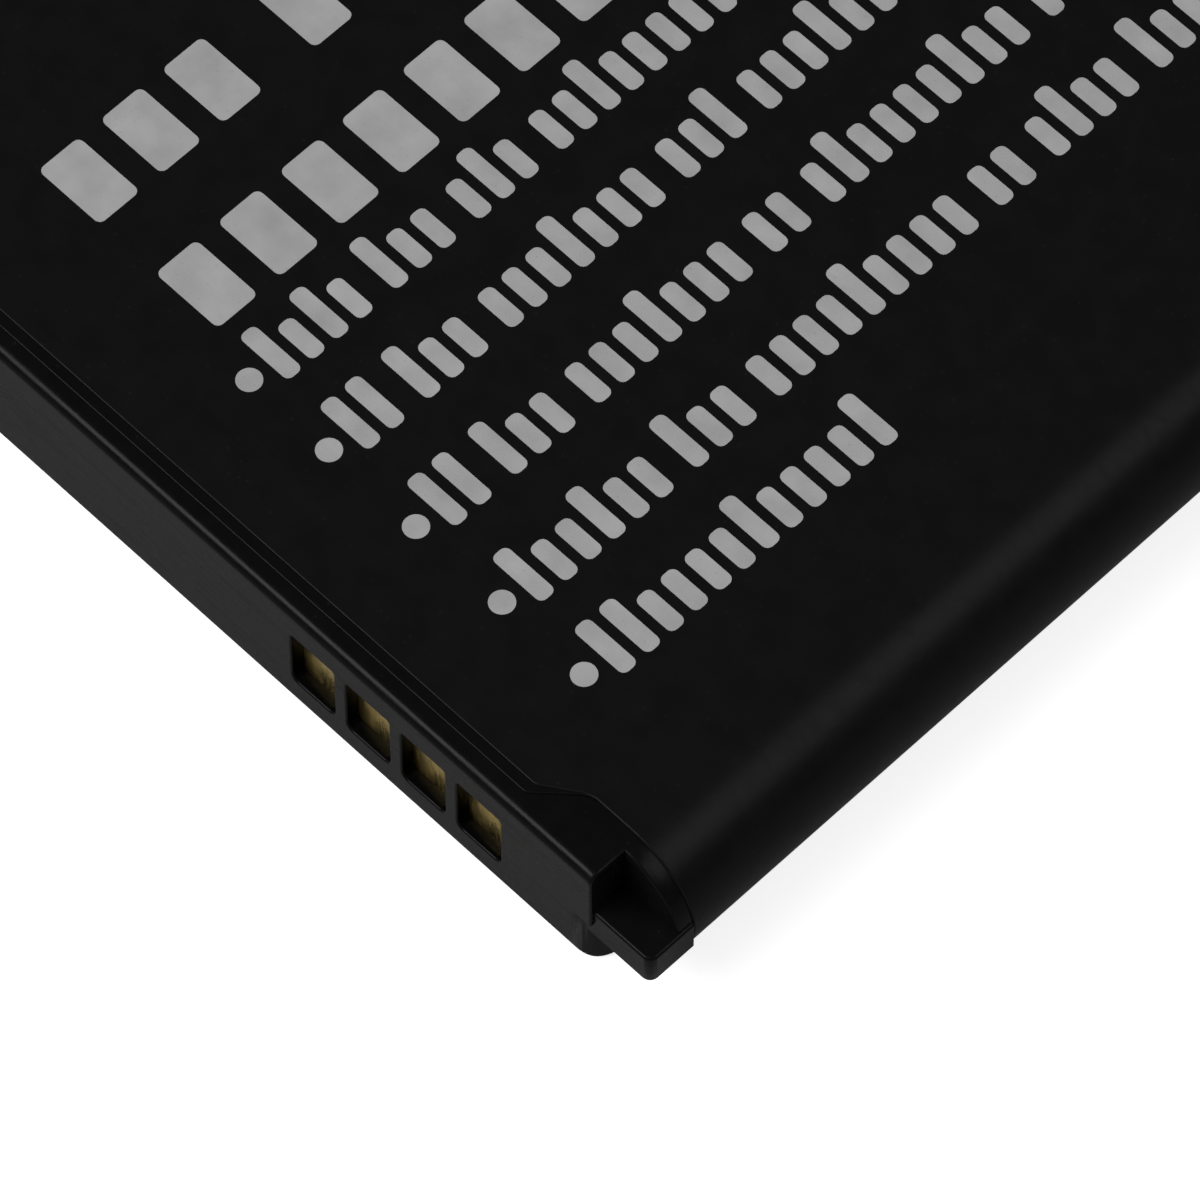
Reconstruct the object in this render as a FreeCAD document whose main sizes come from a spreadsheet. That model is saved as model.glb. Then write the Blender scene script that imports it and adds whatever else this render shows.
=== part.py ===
import FreeCAD, Part
import math
import os
import re

import Sketcher
from FreeCAD import Vector

# A flat rechargeable battery pack: one sealed cell with fully rounded long sides, a moulded cap with four
# contact windows at one end, a plain moulded foot at the other, and a printed film wrapped round all three.
# The contact end faces -Y, the printed face is up, and the pack lies on Z = 0, centred on X and Y.
# Every piece is drawn with Y measured from the contact end, and is then moved back by half the length.

sizes = {
    # The whole pack, over its film
    "pack_width": 58.0,
    "pack_length": 63.0,
    "pack_height": 5.8,
    # The printed film, its stepped front edge, and the shallow seat for it in both mouldings
    "label_film": 0.1,
    "label_setback": 1.13,
    "label_corner_setback": 2.13,
    "label_step_inner": 6.1,
    "label_step_outer": 4.6,
    "label_inner_round": 0.4,
    "label_outer_round": 1.0,
    "label_tail": 0.8,
    "seat_gap": 0.4,
    "seat_corner_gap": 0.25,
    "seam_gap": 0.3,
    "seam_inset": 9.0,
    # The contact cap
    "part_clearance": 0.35,
    "cap_wall": 0.5,
    "cap_end_block": 4.6,
    "front_wall": 0.7,
    "front_round": 0.34,
    "bay_round": 0.4,
    "clip_reach": 0.35,
    "clip_depth": 0.45,
    "clip_length": 2.0,
    "clip_play": 0.02,
    "clip_count": 3,
    "clip_pitch": 13.0,
    "clip_inset": 5.0,
    # The contact windows and the plates behind them
    "window_count": 4,
    "window_pitch": 2.5,
    "window_inset": 7.5,
    "window_width": 1.95,
    "window_opening": 2.8,
    "window_drop": 0.05,
    "window_low_round": 0.3,
    "window_top_round": 0.12,
    "window_edge_break": 0.06,
    "pad_width": 2.2,
    "pad_tall": 3.1,
    "pad_thick": 0.15,
    "pad_play": 0.1,
    # The lug at each corner of the cap, with a notch above it and one below
    "notch_depth": 1.5,
    "notch_width": 2.5,
    "notch_round": 0.15,
    "lug_thick": 1.45,
    "lug_drop": 0.275,
    "lug_setback": 0.15,
    "lug_edge_round": 0.12,
    "notch_floor_round": 0.12,
    "low_notch_width": 2.2,
    "low_notch_round": 1.2,
    # The cell
    "can_round": 0.8,
    "weld_groove": 0.12,
    "weld_groove_inset": 0.5,
    "weld_groove_depth": 0.08,
    "vent_offset": 9.0,
    "vent_radius": 1.4,
    "plug_offset": 8.0,
    "plug_radius": 0.7,
    "plug_rise": 0.22,
    "plug_bevel": 0.1,
    # The insulated terminal in the middle of the cell's lid
    "shank_radius": 0.6,
    "shank_length": 0.8,
    "shank_play": 0.02,
    "neck_wall": 0.3,
    "gasket_width": 5.0,
    "gasket_border": 0.7,
    "gasket_thick": 0.25,
    "gasket_round": 0.9,
    "washer_border": 0.3,
    "washer_thick": 0.25,
    "head_radius": 1.05,
    "head_thick": 0.3,
    # Paper, tape and foot
    "insulator_thick": 0.15,
    "insulator_play": 0.2,
    "tape_film": 0.1,
    "cap_tape_border": 0.3,
    "cap_tape_inset": 1.7,
    "cap_tape_tall": 3.4,
    "foot_depth": 1.4,
    "foot_round": 0.35,
    # The protection board
    "board_thick": 0.6,
    "board_play": 0.1,
    "board_end_gap": 0.3,
    "board_start_gap": 1.5,
    "board_corner": 0.3,
    "board_plate_length": 3.0,
    "board_plate_tall": 2.6,
    "board_plate_thick": 0.2,
    "board_plate_inset": 0.5,
    # Nickel strips and the thermal fuse
    "strip_thick": 0.15,
    "strip_width": 2.2,
    "strip_bend": 0.1,
    "strip_lap": 1.3,
    "weld_plate_length": 5.0,
    "weld_plate_border": 0.7,
    "weld_plate_thick": 0.2,
    "weld_plate_inset": 4.3,
    "fuse_length": 4.4,
    "fuse_tall": 2.6,
    "fuse_thick": 0.9,
    "fuse_corner": 0.25,
    "fuse_inset": 0.9,
    "lead_length": 1.5,
    "lead_gap": 0.2,
    # Parts soldered to the back of the board
    "switch_place": 7.0,
    "switch_length": 4.4,
    "switch_tall": 1.8,
    "switch_thick": 0.9,
    "switch_leg_pitch": 1.1,
    "switch_leg_count": 4,
    "ic_place": 12.0,
    "ic_length": 2.9,
    "ic_tall": 1.6,
    "ic_thick": 0.8,
    "ic_leg_pitch": 0.95,
    "ic_leg_count": 3,
    "leg_width": 0.35,
    "leg_length": 0.4,
    "leg_thick": 0.15,
    "small_part_place": 15.4,
    "small_part_pitch": 1.3,
    "small_part_width": 0.6,
    "small_part_tall": 1.2,
    "resistor_thick": 0.4,
    "capacitor_thick": 0.6,
    "thermistor_width": 0.9,
    "thermistor_tall": 1.6,
    "thermistor_thick": 0.8,
}

document = FreeCAD.newDocument("rechargeable_battery")
sheet = document.addObject("Spreadsheet::Sheet", "Sizes")
for row, (name, value) in enumerate(sizes.items(), start=1):
    sheet.set(f"A{row}", name)
    sheet.set(f"B{row}", str(value))
    sheet.setAlias(f"B{row}", name)
document.recompute()

# Levels along Y, from the contact end inwards
BOARD_BACK = "(front_wall + board_thick)"
BOARD_PLATE_BACK = f"({BOARD_BACK} + board_plate_thick)"
HEAD_STACK = "(gasket_thick + washer_thick + head_thick)"
LID = f"({BOARD_BACK} + switch_thick + part_clearance + strip_thick + {HEAD_STACK})"
CAP_DEPTH = f"({LID} - tape_film)"
GASKET_FRONT = f"({LID} - gasket_thick)"
WASHER_FRONT = f"({GASKET_FRONT} - washer_thick)"
HEAD_FRONT = f"({WASHER_FRONT} - head_thick)"
INSULATOR_FRONT = f"({LID} - insulator_thick)"
CAN_END = "(pack_length - foot_depth - tape_film)"
FOOT_STEP = "(pack_length - label_tail + seat_corner_gap)"

# Places along X, from the middle of the pack
BAY_END = "(pack_width / 2 - cap_end_block)"
FUSE_LEG = f"(-{BAY_END} + fuse_inset)"
FUSE_LEFT = f"({FUSE_LEG} + strip_thick + lead_gap + lead_length)"
FUSE_RIGHT = f"({FUSE_LEFT} + fuse_length)"
BOARD_LEFT = f"({FUSE_RIGHT} + lead_length + board_start_gap)"
BOARD_RIGHT = f"({BAY_END} - board_end_gap)"
POSITIVE_LEG = f"({BOARD_RIGHT} - board_plate_inset)"

# Heights
MIDDLE = "(pack_height / 2)"
BAY_TALL = "(pack_height - 2 * cap_wall)"
GASKET_TALL = f"({BAY_TALL} - 2 * gasket_border)"
WELD_PLATE_TALL = f"({BAY_TALL} - 2 * weld_plate_border)"
LUG_TOP = f"({MIDDLE} - lug_drop + lug_thick / 2)"
LUG_FLOOR = f"({MIDDLE} - lug_drop - lug_thick / 2)"
WINDOW_MIDDLE = f"({MIDDLE} - window_drop)"

# Small parts on the board, resistors and capacitors in turn
SMALL_PARTS = 6

SIZE_NAME = re.compile(r"[a-z]+(?:_[a-z]+)+")


def formula(text):
    """Points every size that a formula names at its cell in the sheet."""
    return SIZE_NAME.sub(lambda found: "Sizes." + found.group(0), text)


def number(text):
    """Works a formula out with the sheet's present values."""
    return float(sheet.evalExpression(formula(text)))


def new_body(label):
    """Starts a piece, with its own Y = 0 on the contact end."""
    body = document.addObject("PartDesign::Body", label)
    body.Label = label
    body.setExpression("Placement.Base.y", formula("-pack_length / 2"))
    return body


def origin_plane(body, role):
    return next(plane for plane in body.Origin.OriginFeatures if plane.Role == role)


def section_sketch(body, name, level):
    """A sketch square to the pack's length, at the level along Y. Its axes are X and Z."""
    sketch = body.newObject("Sketcher::SketchObject", name)
    sketch.AttachmentSupport = (origin_plane(body, "XZ_Plane"), [""])
    sketch.MapMode = "FlatFace"
    sketch.setExpression("AttachmentOffset.Base.z", formula(f"-({level})"))
    return sketch


def plan_sketch(body, name, height):
    """A sketch seen from above, at the height along Z. Its axes are X and Y."""
    sketch = body.newObject("Sketcher::SketchObject", name)
    sketch.AttachmentSupport = (origin_plane(body, "XY_Plane"), [""])
    sketch.MapMode = "FlatFace"
    sketch.setExpression("AttachmentOffset.Base.z", formula(height))
    return sketch


def side_sketch(body, name, place):
    """A sketch seen from the side, at the place along X. Its axes are Y and Z."""
    sketch = body.newObject("Sketcher::SketchObject", name)
    sketch.AttachmentSupport = (origin_plane(body, "YZ_Plane"), [""])
    sketch.MapMode = "FlatFace"
    sketch.setExpression("AttachmentOffset.Base.z", formula(place))
    return sketch


def dimension(sketch, kind, where, value):
    """Adds one dimension to a sketch and ties it to the sheet."""
    place = sketch.addConstraint(Sketcher.Constraint(kind, *where, number(value)))
    sketch.setExpression(f"Constraints[{place}]", formula(value))


def place_point(sketch, shape, end, across, along):
    dimension(sketch, "DistanceX", (-1, 1, shape, end), across)
    dimension(sketch, "DistanceY", (-1, 1, shape, end), along)


def outline(sketch, corners):
    """Draws a closed outline of straight sides. A corner is (x, y), or (x, y, radius) to round it."""
    spots = [Vector(number(corner[0]), number(corner[1]), 0) for corner in corners]
    count = len(corners)
    arrivals, departures = [], []
    for here, corner in enumerate(corners):
        back = (spots[here - 1] - spots[here]).normalize()
        ahead = (spots[(here + 1) % count] - spots[here]).normalize()
        trim = number(corner[2]) / math.tan(back.getAngle(ahead) / 2) if len(corner) == 3 else 0
        arrivals.append(spots[here] + back * trim)
        departures.append(spots[here] + ahead * trim)
    sides = [
        sketch.addGeometry(Part.LineSegment(departures[here], arrivals[(here + 1) % count]), False)
        for here in range(count)
    ]
    for here, corner in enumerate(corners):
        arriving, leaving = sides[here - 1], sides[here]
        if len(corner) == 2:
            sketch.addConstraint(Sketcher.Constraint("Coincident", arriving, 2, leaving, 1))
            place_point(sketch, leaving, 1, corner[0], corner[1])
            continue
        back = arrivals[here] - spots[here]
        ahead = departures[here] - spots[here]
        inwards = (back + ahead).normalize()
        radius = number(corner[2])
        centre = spots[here] + inwards * (radius / math.sin(back.getAngle(ahead) / 2))
        turns_left = back.cross(ahead).z < 0
        first, last = arrivals[here], departures[here]
        if not turns_left:
            first, last = last, first
        start = math.atan2(first.y - centre.y, first.x - centre.x)
        stop = math.atan2(last.y - centre.y, last.x - centre.x)
        if stop < start:
            stop += 2 * math.pi
        circle = Part.Circle(centre, Vector(0, 0, 1), radius)
        arc = sketch.addGeometry(Part.ArcOfCircle(circle, start, stop), False)
        corner_point = sketch.addGeometry(Part.Point(spots[here]), True)
        in_end, out_end = (1, 2) if turns_left else (2, 1)
        sketch.addConstraint(Sketcher.Constraint("Tangent", arriving, 2, arc, in_end))
        sketch.addConstraint(Sketcher.Constraint("Tangent", arc, out_end, leaving, 1))
        sketch.addConstraint(Sketcher.Constraint("PointOnObject", corner_point, 1, arriving))
        sketch.addConstraint(Sketcher.Constraint("PointOnObject", corner_point, 1, leaving))
        dimension(sketch, "Radius", (arc,), corner[2])
        place_point(sketch, corner_point, 1, corner[0], corner[1])


def rectangle(sketch, left, right, bottom, top, corner=None):
    ends = [(left, bottom), (right, bottom), (right, top), (left, top)]
    outline(sketch, [end if corner is None else (*end, corner) for end in ends])


def centred_rectangle(sketch, centre, length, tall, corner=None, middle=MIDDLE):
    rectangle(
        sketch,
        f"{centre} - ({length}) / 2",
        f"{centre} + ({length}) / 2",
        f"{middle} - ({tall}) / 2",
        f"{middle} + ({tall}) / 2",
        corner,
    )


def circle(sketch, across, up, radius):
    centre = Vector(number(across), number(up), 0)
    ring = sketch.addGeometry(Part.Circle(centre, Vector(0, 0, 1), number(radius)), False)
    place_point(sketch, ring, 3, across, up)
    dimension(sketch, "Radius", (ring,), radius)


def pack_section(sketch, inset="0"):
    """Draws the pack's own cross-section, flat above and below with half-round sides, set in by inset."""
    radius = f"pack_height / 2 - ({inset})"
    reach = "(pack_width / 2 - pack_height / 2)"
    centres = (Vector(number(reach), number(MIDDLE), 0), Vector(-number(reach), number(MIDDLE), 0))
    rise = Vector(0, number(radius), 0)
    right, left = [Part.Circle(centre, Vector(0, 0, 1), number(radius)) for centre in centres]
    quarter = math.pi / 2
    right_arc = sketch.addGeometry(Part.ArcOfCircle(right, -quarter, quarter), False)
    left_arc = sketch.addGeometry(Part.ArcOfCircle(left, quarter, 3 * quarter), False)
    top = sketch.addGeometry(Part.LineSegment(centres[0] + rise, centres[1] + rise), False)
    floor = sketch.addGeometry(Part.LineSegment(centres[1] - rise, centres[0] - rise), False)
    for first, first_end, second, second_end in (
        (right_arc, 2, top, 1),
        (top, 2, left_arc, 1),
        (left_arc, 2, floor, 1),
        (floor, 2, right_arc, 1),
    ):
        sketch.addConstraint(Sketcher.Constraint("Tangent", first, first_end, second, second_end))
    place_point(sketch, right_arc, 3, reach, MIDDLE)
    dimension(sketch, "DistanceX", (-1, 1, left_arc, 3), f"-{reach}")
    dimension(sketch, "Radius", (right_arc,), radius)


def finish_feature(body, feature):
    body.Tip = feature
    document.recompute()
    return feature


def pad(body, name, sketch, length):
    """Raises a section sketch towards +Y, or a plan sketch towards +Z."""
    feature = body.newObject("PartDesign::Pad", name)
    feature.Profile = sketch
    feature.Reversed = sketch.AttachmentSupport[0][0].Role == "XZ_Plane"
    feature.setExpression("Length", formula(length))
    return finish_feature(body, feature)


def pocket(body, name, sketch, length, downwards=False):
    """Cuts a section sketch towards +Y, a side sketch towards +X, and a plan sketch up or downwards."""
    feature = body.newObject("PartDesign::Pocket", name)
    feature.Profile = sketch
    feature.Reversed = sketch.AttachmentSupport[0][0].Role != "XZ_Plane" and not downwards
    feature.setExpression("Length", formula(length))
    before = body.Shape.Volume
    finish_feature(body, feature)
    if body.Shape.Volume > before - 1e-6:
        raise RuntimeError(f"{body.Label}: {name} cut nothing")
    return feature


def row_of(body, name, feature, sketch, pitch, count, leftwards=False):
    """Repeats a feature along X."""
    pattern = body.newObject("PartDesign::LinearPattern", name)
    pattern.Originals = [feature]
    pattern.Direction = (sketch, ["H_Axis"])
    pattern.Reversed = leftwards
    pattern.setExpression("Length", formula(f"({pitch}) * (({count}) - 1)"))
    pattern.setExpression("Occurrences", formula(count))
    return finish_feature(body, pattern)


def dress_edges(body, kind, name, measure, value, chosen):
    """Rounds or breaks the edges of the piece so far that the test picks."""
    base = body.Tip
    edges = [f"Edge{place}" for place, edge in enumerate(base.Shape.Edges, start=1) if chosen(edge)]
    feature = body.newObject("PartDesign::" + kind, name)
    feature.Base = (base, edges)
    feature.setExpression(measure, formula(value))
    return finish_feature(body, feature)


def round_edges(body, name, radius, chosen):
    return dress_edges(body, "Fillet", name, "Radius", radius, chosen)


def break_edges(body, name, size, chosen):
    return dress_edges(body, "Chamfer", name, "Size", size, chosen)


def lies_at(edge, axis, value):
    """Tells whether a whole edge lies at one value along X, Y or Z."""
    box = edge.BoundBox
    low, high = getattr(box, axis + "Min"), getattr(box, axis + "Max")
    return abs(low - value) < 1e-4 and abs(high - value) < 1e-4


def flat_piece(label, centre, length, tall, front, thick, corner=None, middle=MIDDLE, holes=()):
    """A flat plate square to the pack's length. A hole is (centre, length, tall, corner)."""
    body = new_body(label)
    sketch = section_sketch(body, label + "_outline", front)
    centred_rectangle(sketch, centre, length, tall, corner, middle)
    for hole in holes:
        centred_rectangle(sketch, *hole)
    pad(body, label + "_plate", sketch, thick)
    return body


def stepped_edge(middle_line, corner_line):
    """The line from +X to -X of the film's front edge, which steps back at both sides."""
    inner, outer = "pack_width / 2 - label_step_inner", "pack_width / 2 - label_step_outer"
    return [
        (outer, corner_line, "label_outer_round"),
        (inner, middle_line, "label_inner_round"),
        (f"-({inner})", middle_line, "label_inner_round"),
        (f"-({outer})", corner_line, "label_outer_round"),
    ]


def cut_corner(body):
    """Cuts the notches at the +X corner, puts the lug between them, and rounds its edges."""
    side, ahead = "pack_width", "-pack_height"
    low_plan = plan_sketch(body, "low_notch_plan", LUG_FLOOR)
    low_wall = "(pack_width / 2 - low_notch_width)"
    outline(
        low_plan,
        [
            (f"{low_wall} - low_notch_width", ahead),
            (side, ahead),
            (side, "notch_depth"),
            (low_wall, "notch_depth", "notch_round"),
            (low_wall, "0", "low_notch_round"),
            (f"{low_wall} - low_notch_width", "0"),
        ],
    )
    pocket(body, "low_notch", low_plan, "pack_height", downwards=True)
    top_plan = plan_sketch(body, "top_notch_plan", LUG_FLOOR)
    top_wall = "(pack_width / 2 - notch_width)"
    outline(
        top_plan,
        [
            (f"{top_wall} - notch_width", ahead),
            (side, ahead),
            (side, "notch_depth"),
            (top_wall, "notch_depth", "notch_round"),
            (top_wall, "0", "notch_round"),
            (f"{top_wall} - notch_width", "0"),
        ],
    )
    pocket(body, "top_notch", top_plan, "pack_height")
    lug_plan = plan_sketch(body, "lug_plan", LUG_FLOOR)
    lug_root = f"{top_wall} - notch_round"
    outline(
        lug_plan,
        [
            (lug_root, "lug_setback"),
            ("pack_width / 2", "lug_setback", "front_round"),
            ("pack_width / 2", "label_corner_setback"),
            (lug_root, "label_corner_setback"),
        ],
    )
    pad(body, "corner_lug", lug_plan, "lug_thick")

    lug_top, wall_place, least_run = number(LUG_TOP), number(top_wall), number("notch_depth / 2")

    def ends_the_floor(edge):
        """Picks the edge where the top notch's floor meets its inner wall."""
        in_corner = lies_at(edge, "X", wall_place) and lies_at(edge, "Z", lug_top)
        return in_corner and edge.BoundBox.YLength > least_run

    round_edges(body, "notch_floor", "notch_floor_round", ends_the_floor)
    lug_edge = side_sketch(body, "lug_edge_profile", top_wall)
    outline(
        lug_edge,
        [
            (ahead, LUG_FLOOR),
            ("lug_setback", LUG_FLOOR),
            ("lug_setback", LUG_TOP, "lug_edge_round"),
            ("notch_depth / 2", LUG_TOP),
            ("notch_depth / 2", "pack_height"),
            (ahead, "pack_height"),
        ],
    )
    pocket(body, "lug_edge", lug_edge, "pack_width")


def cut_windows(body):
    """Cuts the row of contact windows and the recess behind them for the contact plates."""
    recess = section_sketch(body, "pad_recess_outline", "front_wall - pad_thick")
    row_length = "window_pitch * (window_count - 1)"
    row_middle = f"(pack_width / 2 - window_inset - ({row_length}) / 2)"
    recess_length = f"{row_length} + pad_width + 2 * pad_play"
    centred_rectangle(recess, row_middle, recess_length, "pad_tall + 2 * pad_play", None, WINDOW_MIDDLE)
    pocket(body, "pad_recess", recess, "pad_thick")
    window = section_sketch(body, "window_outline", "0")
    left = "(pack_width / 2 - window_inset - window_width / 2)"
    right = f"{left} + window_width"
    floor, top = f"{WINDOW_MIDDLE} - window_opening / 2", f"{WINDOW_MIDDLE} + window_opening / 2"
    outline(
        window,
        [
            (left, floor, "window_low_round"),
            (right, floor, "window_low_round"),
            (right, top, "window_top_round"),
            (left, top, "window_top_round"),
        ],
    )
    first_window = pocket(body, "contact_window", window, "front_wall")
    row_of(body, "contact_windows", first_window, window, "window_pitch", "window_count", leftwards=True)
    row_start = number(f"{left} - window_pitch * (window_count - 1)")
    lowest, highest = number(floor), number(top)

    def bounds_a_window(edge):
        """Picks the edges of the windows on the contact end."""
        box = edge.BoundBox
        in_row = box.XMin > row_start - 1e-4 and box.XMax < number(right) + 1e-4
        return lies_at(edge, "Y", 0) and in_row and box.ZMin > lowest - 1e-4 and box.ZMax < highest + 1e-4

    break_edges(body, "window_edges", "window_edge_break", bounds_a_window)


def make_contact_cap():
    """The moulding at the contact end, with its windows, label seat, board bay, clips and corner lugs."""
    body = new_body("contact_cap")
    block = section_sketch(body, "cap_section", "0")
    pack_section(block)
    pad(body, "cap_block", block, CAP_DEPTH)
    other_half = section_sketch(body, "other_half_outline", "0")
    rectangle(other_half, "-pack_width", "0", "-pack_height", "2 * pack_height")
    pocket(body, "other_half", other_half, CAP_DEPTH)
    round_edges(
        body, "cap_front_edge", "front_round", lambda edge: lies_at(edge, "Y", 0) and edge.BoundBox.XMax > 0
    )
    cut_corner(body)
    both_halves = body.newObject("PartDesign::Mirrored", "both_halves")
    both_halves.TransformMode = "Whole shape"
    both_halves.MirrorPlane = (origin_plane(body, "YZ_Plane"), [""])
    finish_feature(body, both_halves)

    seat = plan_sketch(body, "label_seat_plan", "-pack_height")
    side, beyond = "pack_width", f"2 * {CAP_DEPTH}"
    corner_line = "label_corner_setback - seat_corner_gap"
    far_corners = [(f"-{side}", corner_line), (f"-{side}", beyond), (side, beyond), (side, corner_line)]
    outline(seat, [*far_corners, *stepped_edge("label_setback - seat_gap", corner_line)])
    pocket(body, "label_seat_cut", seat, "3 * pack_height")
    core = section_sketch(body, "cap_core_section", "notch_depth")
    pack_section(core, "label_film")
    pad(body, "cap_core", core, f"{CAP_DEPTH} - notch_depth")
    middle_core = section_sketch(body, "cap_middle_section", "front_wall / 2")
    inside = "pack_width / 2 - label_step_outer"
    rectangle(middle_core, f"-({inside})", inside, "label_film", "pack_height - label_film")
    pad(body, "cap_middle_core", middle_core, "notch_depth")

    bay = section_sketch(body, "board_bay_outline", "front_wall")
    centred_rectangle(bay, "0", f"2 * {BAY_END}", BAY_TALL, "bay_round")
    pocket(body, "board_bay", bay, CAP_DEPTH)
    cut_windows(body)

    clips = section_sketch(body, "board_clip_outline", f"{BOARD_BACK} + clip_play")
    clip_middle = f"({BOARD_RIGHT} - clip_inset)"
    clip_left, clip_right = f"{clip_middle} - clip_length / 2", f"{clip_middle} + clip_length / 2"
    clip_root, clip_tip = "cap_wall / 2", "cap_wall + clip_reach"
    rectangle(clips, clip_left, clip_right, clip_root, clip_tip)
    rectangle(clips, clip_left, clip_right, f"pack_height - ({clip_tip})", f"pack_height - {clip_root}")
    clip = pad(body, "board_clip", clips, "clip_depth")
    row_of(body, "board_clips", clip, clips, "clip_pitch", "clip_count", leftwards=True)
    return body


def make_end_foot():
    """The plain moulding at the far end, with the same shallow seat for the film's tail."""
    body = new_body("end_foot")
    outer = section_sketch(body, "foot_section", FOOT_STEP)
    pack_section(outer)
    pad(body, "foot_plate", outer, f"pack_length - {FOOT_STEP}")
    round_edges(body, "foot_edge", "foot_round", lambda edge: lies_at(edge, "Y", number("pack_length")))
    core = section_sketch(body, "foot_core_section", "pack_length - foot_depth")
    pack_section(core, "label_film")
    pad(body, "foot_core", core, f"{FOOT_STEP} - pack_length + foot_depth")
    return body


def make_label_wrap():
    """The printed film: one turn round the pack, closed by a butt seam underneath."""
    body = new_body("label_wrap")
    ring = section_sketch(body, "film_section", "0")
    pack_section(ring)
    pack_section(ring, "label_film")
    pad(body, "film_sleeve", ring, "pack_length - label_tail")
    front = plan_sketch(body, "film_front_plan", "-pack_height")
    side, ahead = "pack_width", "-pack_height"
    corner_line = "label_corner_setback"
    front_corners = [(f"-{side}", corner_line), (f"-{side}", ahead), (side, ahead), (side, corner_line)]
    outline(front, front_corners + stepped_edge("label_setback", corner_line))
    pocket(body, "film_front_edge", front, "3 * pack_height")
    seam = plan_sketch(body, "seam_plan", MIDDLE)
    seam_place = "(seam_inset - pack_width / 2)"
    rectangle(seam, f"{seam_place} - seam_gap / 2", f"{seam_place} + seam_gap / 2", "0", "pack_length")
    pocket(body, "film_seam", seam, "pack_height", downwards=True)
    return body


def make_cell_can():
    """The sealed cell in its drawn can, with the weld groove, vent score and terminal hole in its lid."""
    body = new_body("cell_can")
    section = section_sketch(body, "can_section", LID)
    pack_section(section, "label_film")
    pad(body, "can_block", section, f"{CAN_END} - {LID}")
    round_edges(body, "can_end_edge", "can_round", lambda edge: lies_at(edge, "Y", number(CAN_END)))
    groove = section_sketch(body, "weld_groove_outline", LID)
    pack_section(groove, "label_film + weld_groove_inset")
    pack_section(groove, "label_film + weld_groove_inset + weld_groove")
    pocket(body, "lid_weld_groove", groove, "weld_groove_depth")
    vent = section_sketch(body, "vent_outline", LID)
    circle(vent, "-vent_offset", MIDDLE, "vent_radius")
    circle(vent, "-vent_offset", MIDDLE, "vent_radius - weld_groove")
    pocket(body, "vent_score", vent, "weld_groove_depth")
    hole = section_sketch(body, "terminal_hole_outline", LID)
    circle(hole, "0", MIDDLE, "shank_radius + 2 * shank_play + neck_wall")
    pocket(body, "terminal_hole", hole, "shank_length + shank_play")
    return body


def make_terminal():
    """The gasket, washer and rivet of the insulated terminal."""
    gasket_size = ("gasket_width", GASKET_TALL)
    gasket = flat_piece("terminal_gasket", "0", *gasket_size, GASKET_FRONT, "gasket_thick", "gasket_round")
    neck = section_sketch(gasket, "gasket_neck_outline", LID)
    circle(neck, "0", MIDDLE, "shank_radius + shank_play + neck_wall")
    pad(gasket, "gasket_neck", neck, "shank_length")
    bore = section_sketch(gasket, "gasket_bore_outline", GASKET_FRONT)
    circle(bore, "0", MIDDLE, "shank_radius + shank_play")
    pocket(gasket, "gasket_bore", bore, "2 * shank_length + gasket_thick")

    washer_size = [f"{size} - 2 * washer_border" for size in gasket_size]
    washer_round = "gasket_round - washer_border"
    washer = flat_piece("terminal_washer", "0", *washer_size, WASHER_FRONT, "washer_thick", washer_round)
    washer_bore = section_sketch(washer, "washer_bore_outline", WASHER_FRONT)
    circle(washer_bore, "0", MIDDLE, "shank_radius + shank_play")
    pocket(washer, "washer_bore", washer_bore, "washer_thick")

    rivet = new_body("terminal_rivet")
    profile = plan_sketch(rivet, "rivet_profile", "0")
    shank_end = f"{LID} + shank_length"
    outline(
        profile,
        [
            ("0", HEAD_FRONT),
            ("head_radius", HEAD_FRONT, "head_thick / 2"),
            ("head_radius", WASHER_FRONT),
            ("shank_radius", WASHER_FRONT),
            ("shank_radius", shank_end),
            ("0", shank_end),
        ],
    )
    turned = rivet.newObject("PartDesign::Revolution", "rivet_turned")
    turned.Profile = profile
    turned.ReferenceAxis = (profile, ["V_Axis"])
    turned.Angle = 360
    finish_feature(rivet, turned)
    rivet.setExpression("Placement.Base.z", formula(MIDDLE))
    return [gasket, washer, rivet]


def make_fill_plug():
    """The little plug that closes the filling hole in the lid."""
    body = new_body("fill_plug")
    profile = plan_sketch(body, "plug_profile", "0")
    top = f"{LID} - plug_rise"
    rim = [("plug_radius - plug_bevel", top), ("plug_radius", f"{top} + plug_bevel")]
    outline(profile, [("0", top), *rim, ("plug_radius", LID), ("0", LID)])
    turned = body.newObject("PartDesign::Revolution", "plug_turned")
    turned.Profile = profile
    turned.ReferenceAxis = (profile, ["V_Axis"])
    turned.Angle = 360
    finish_feature(body, turned)
    body.setExpression("Placement.Base.x", formula("plug_offset"))
    body.setExpression("Placement.Base.z", formula(MIDDLE))
    return body


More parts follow.
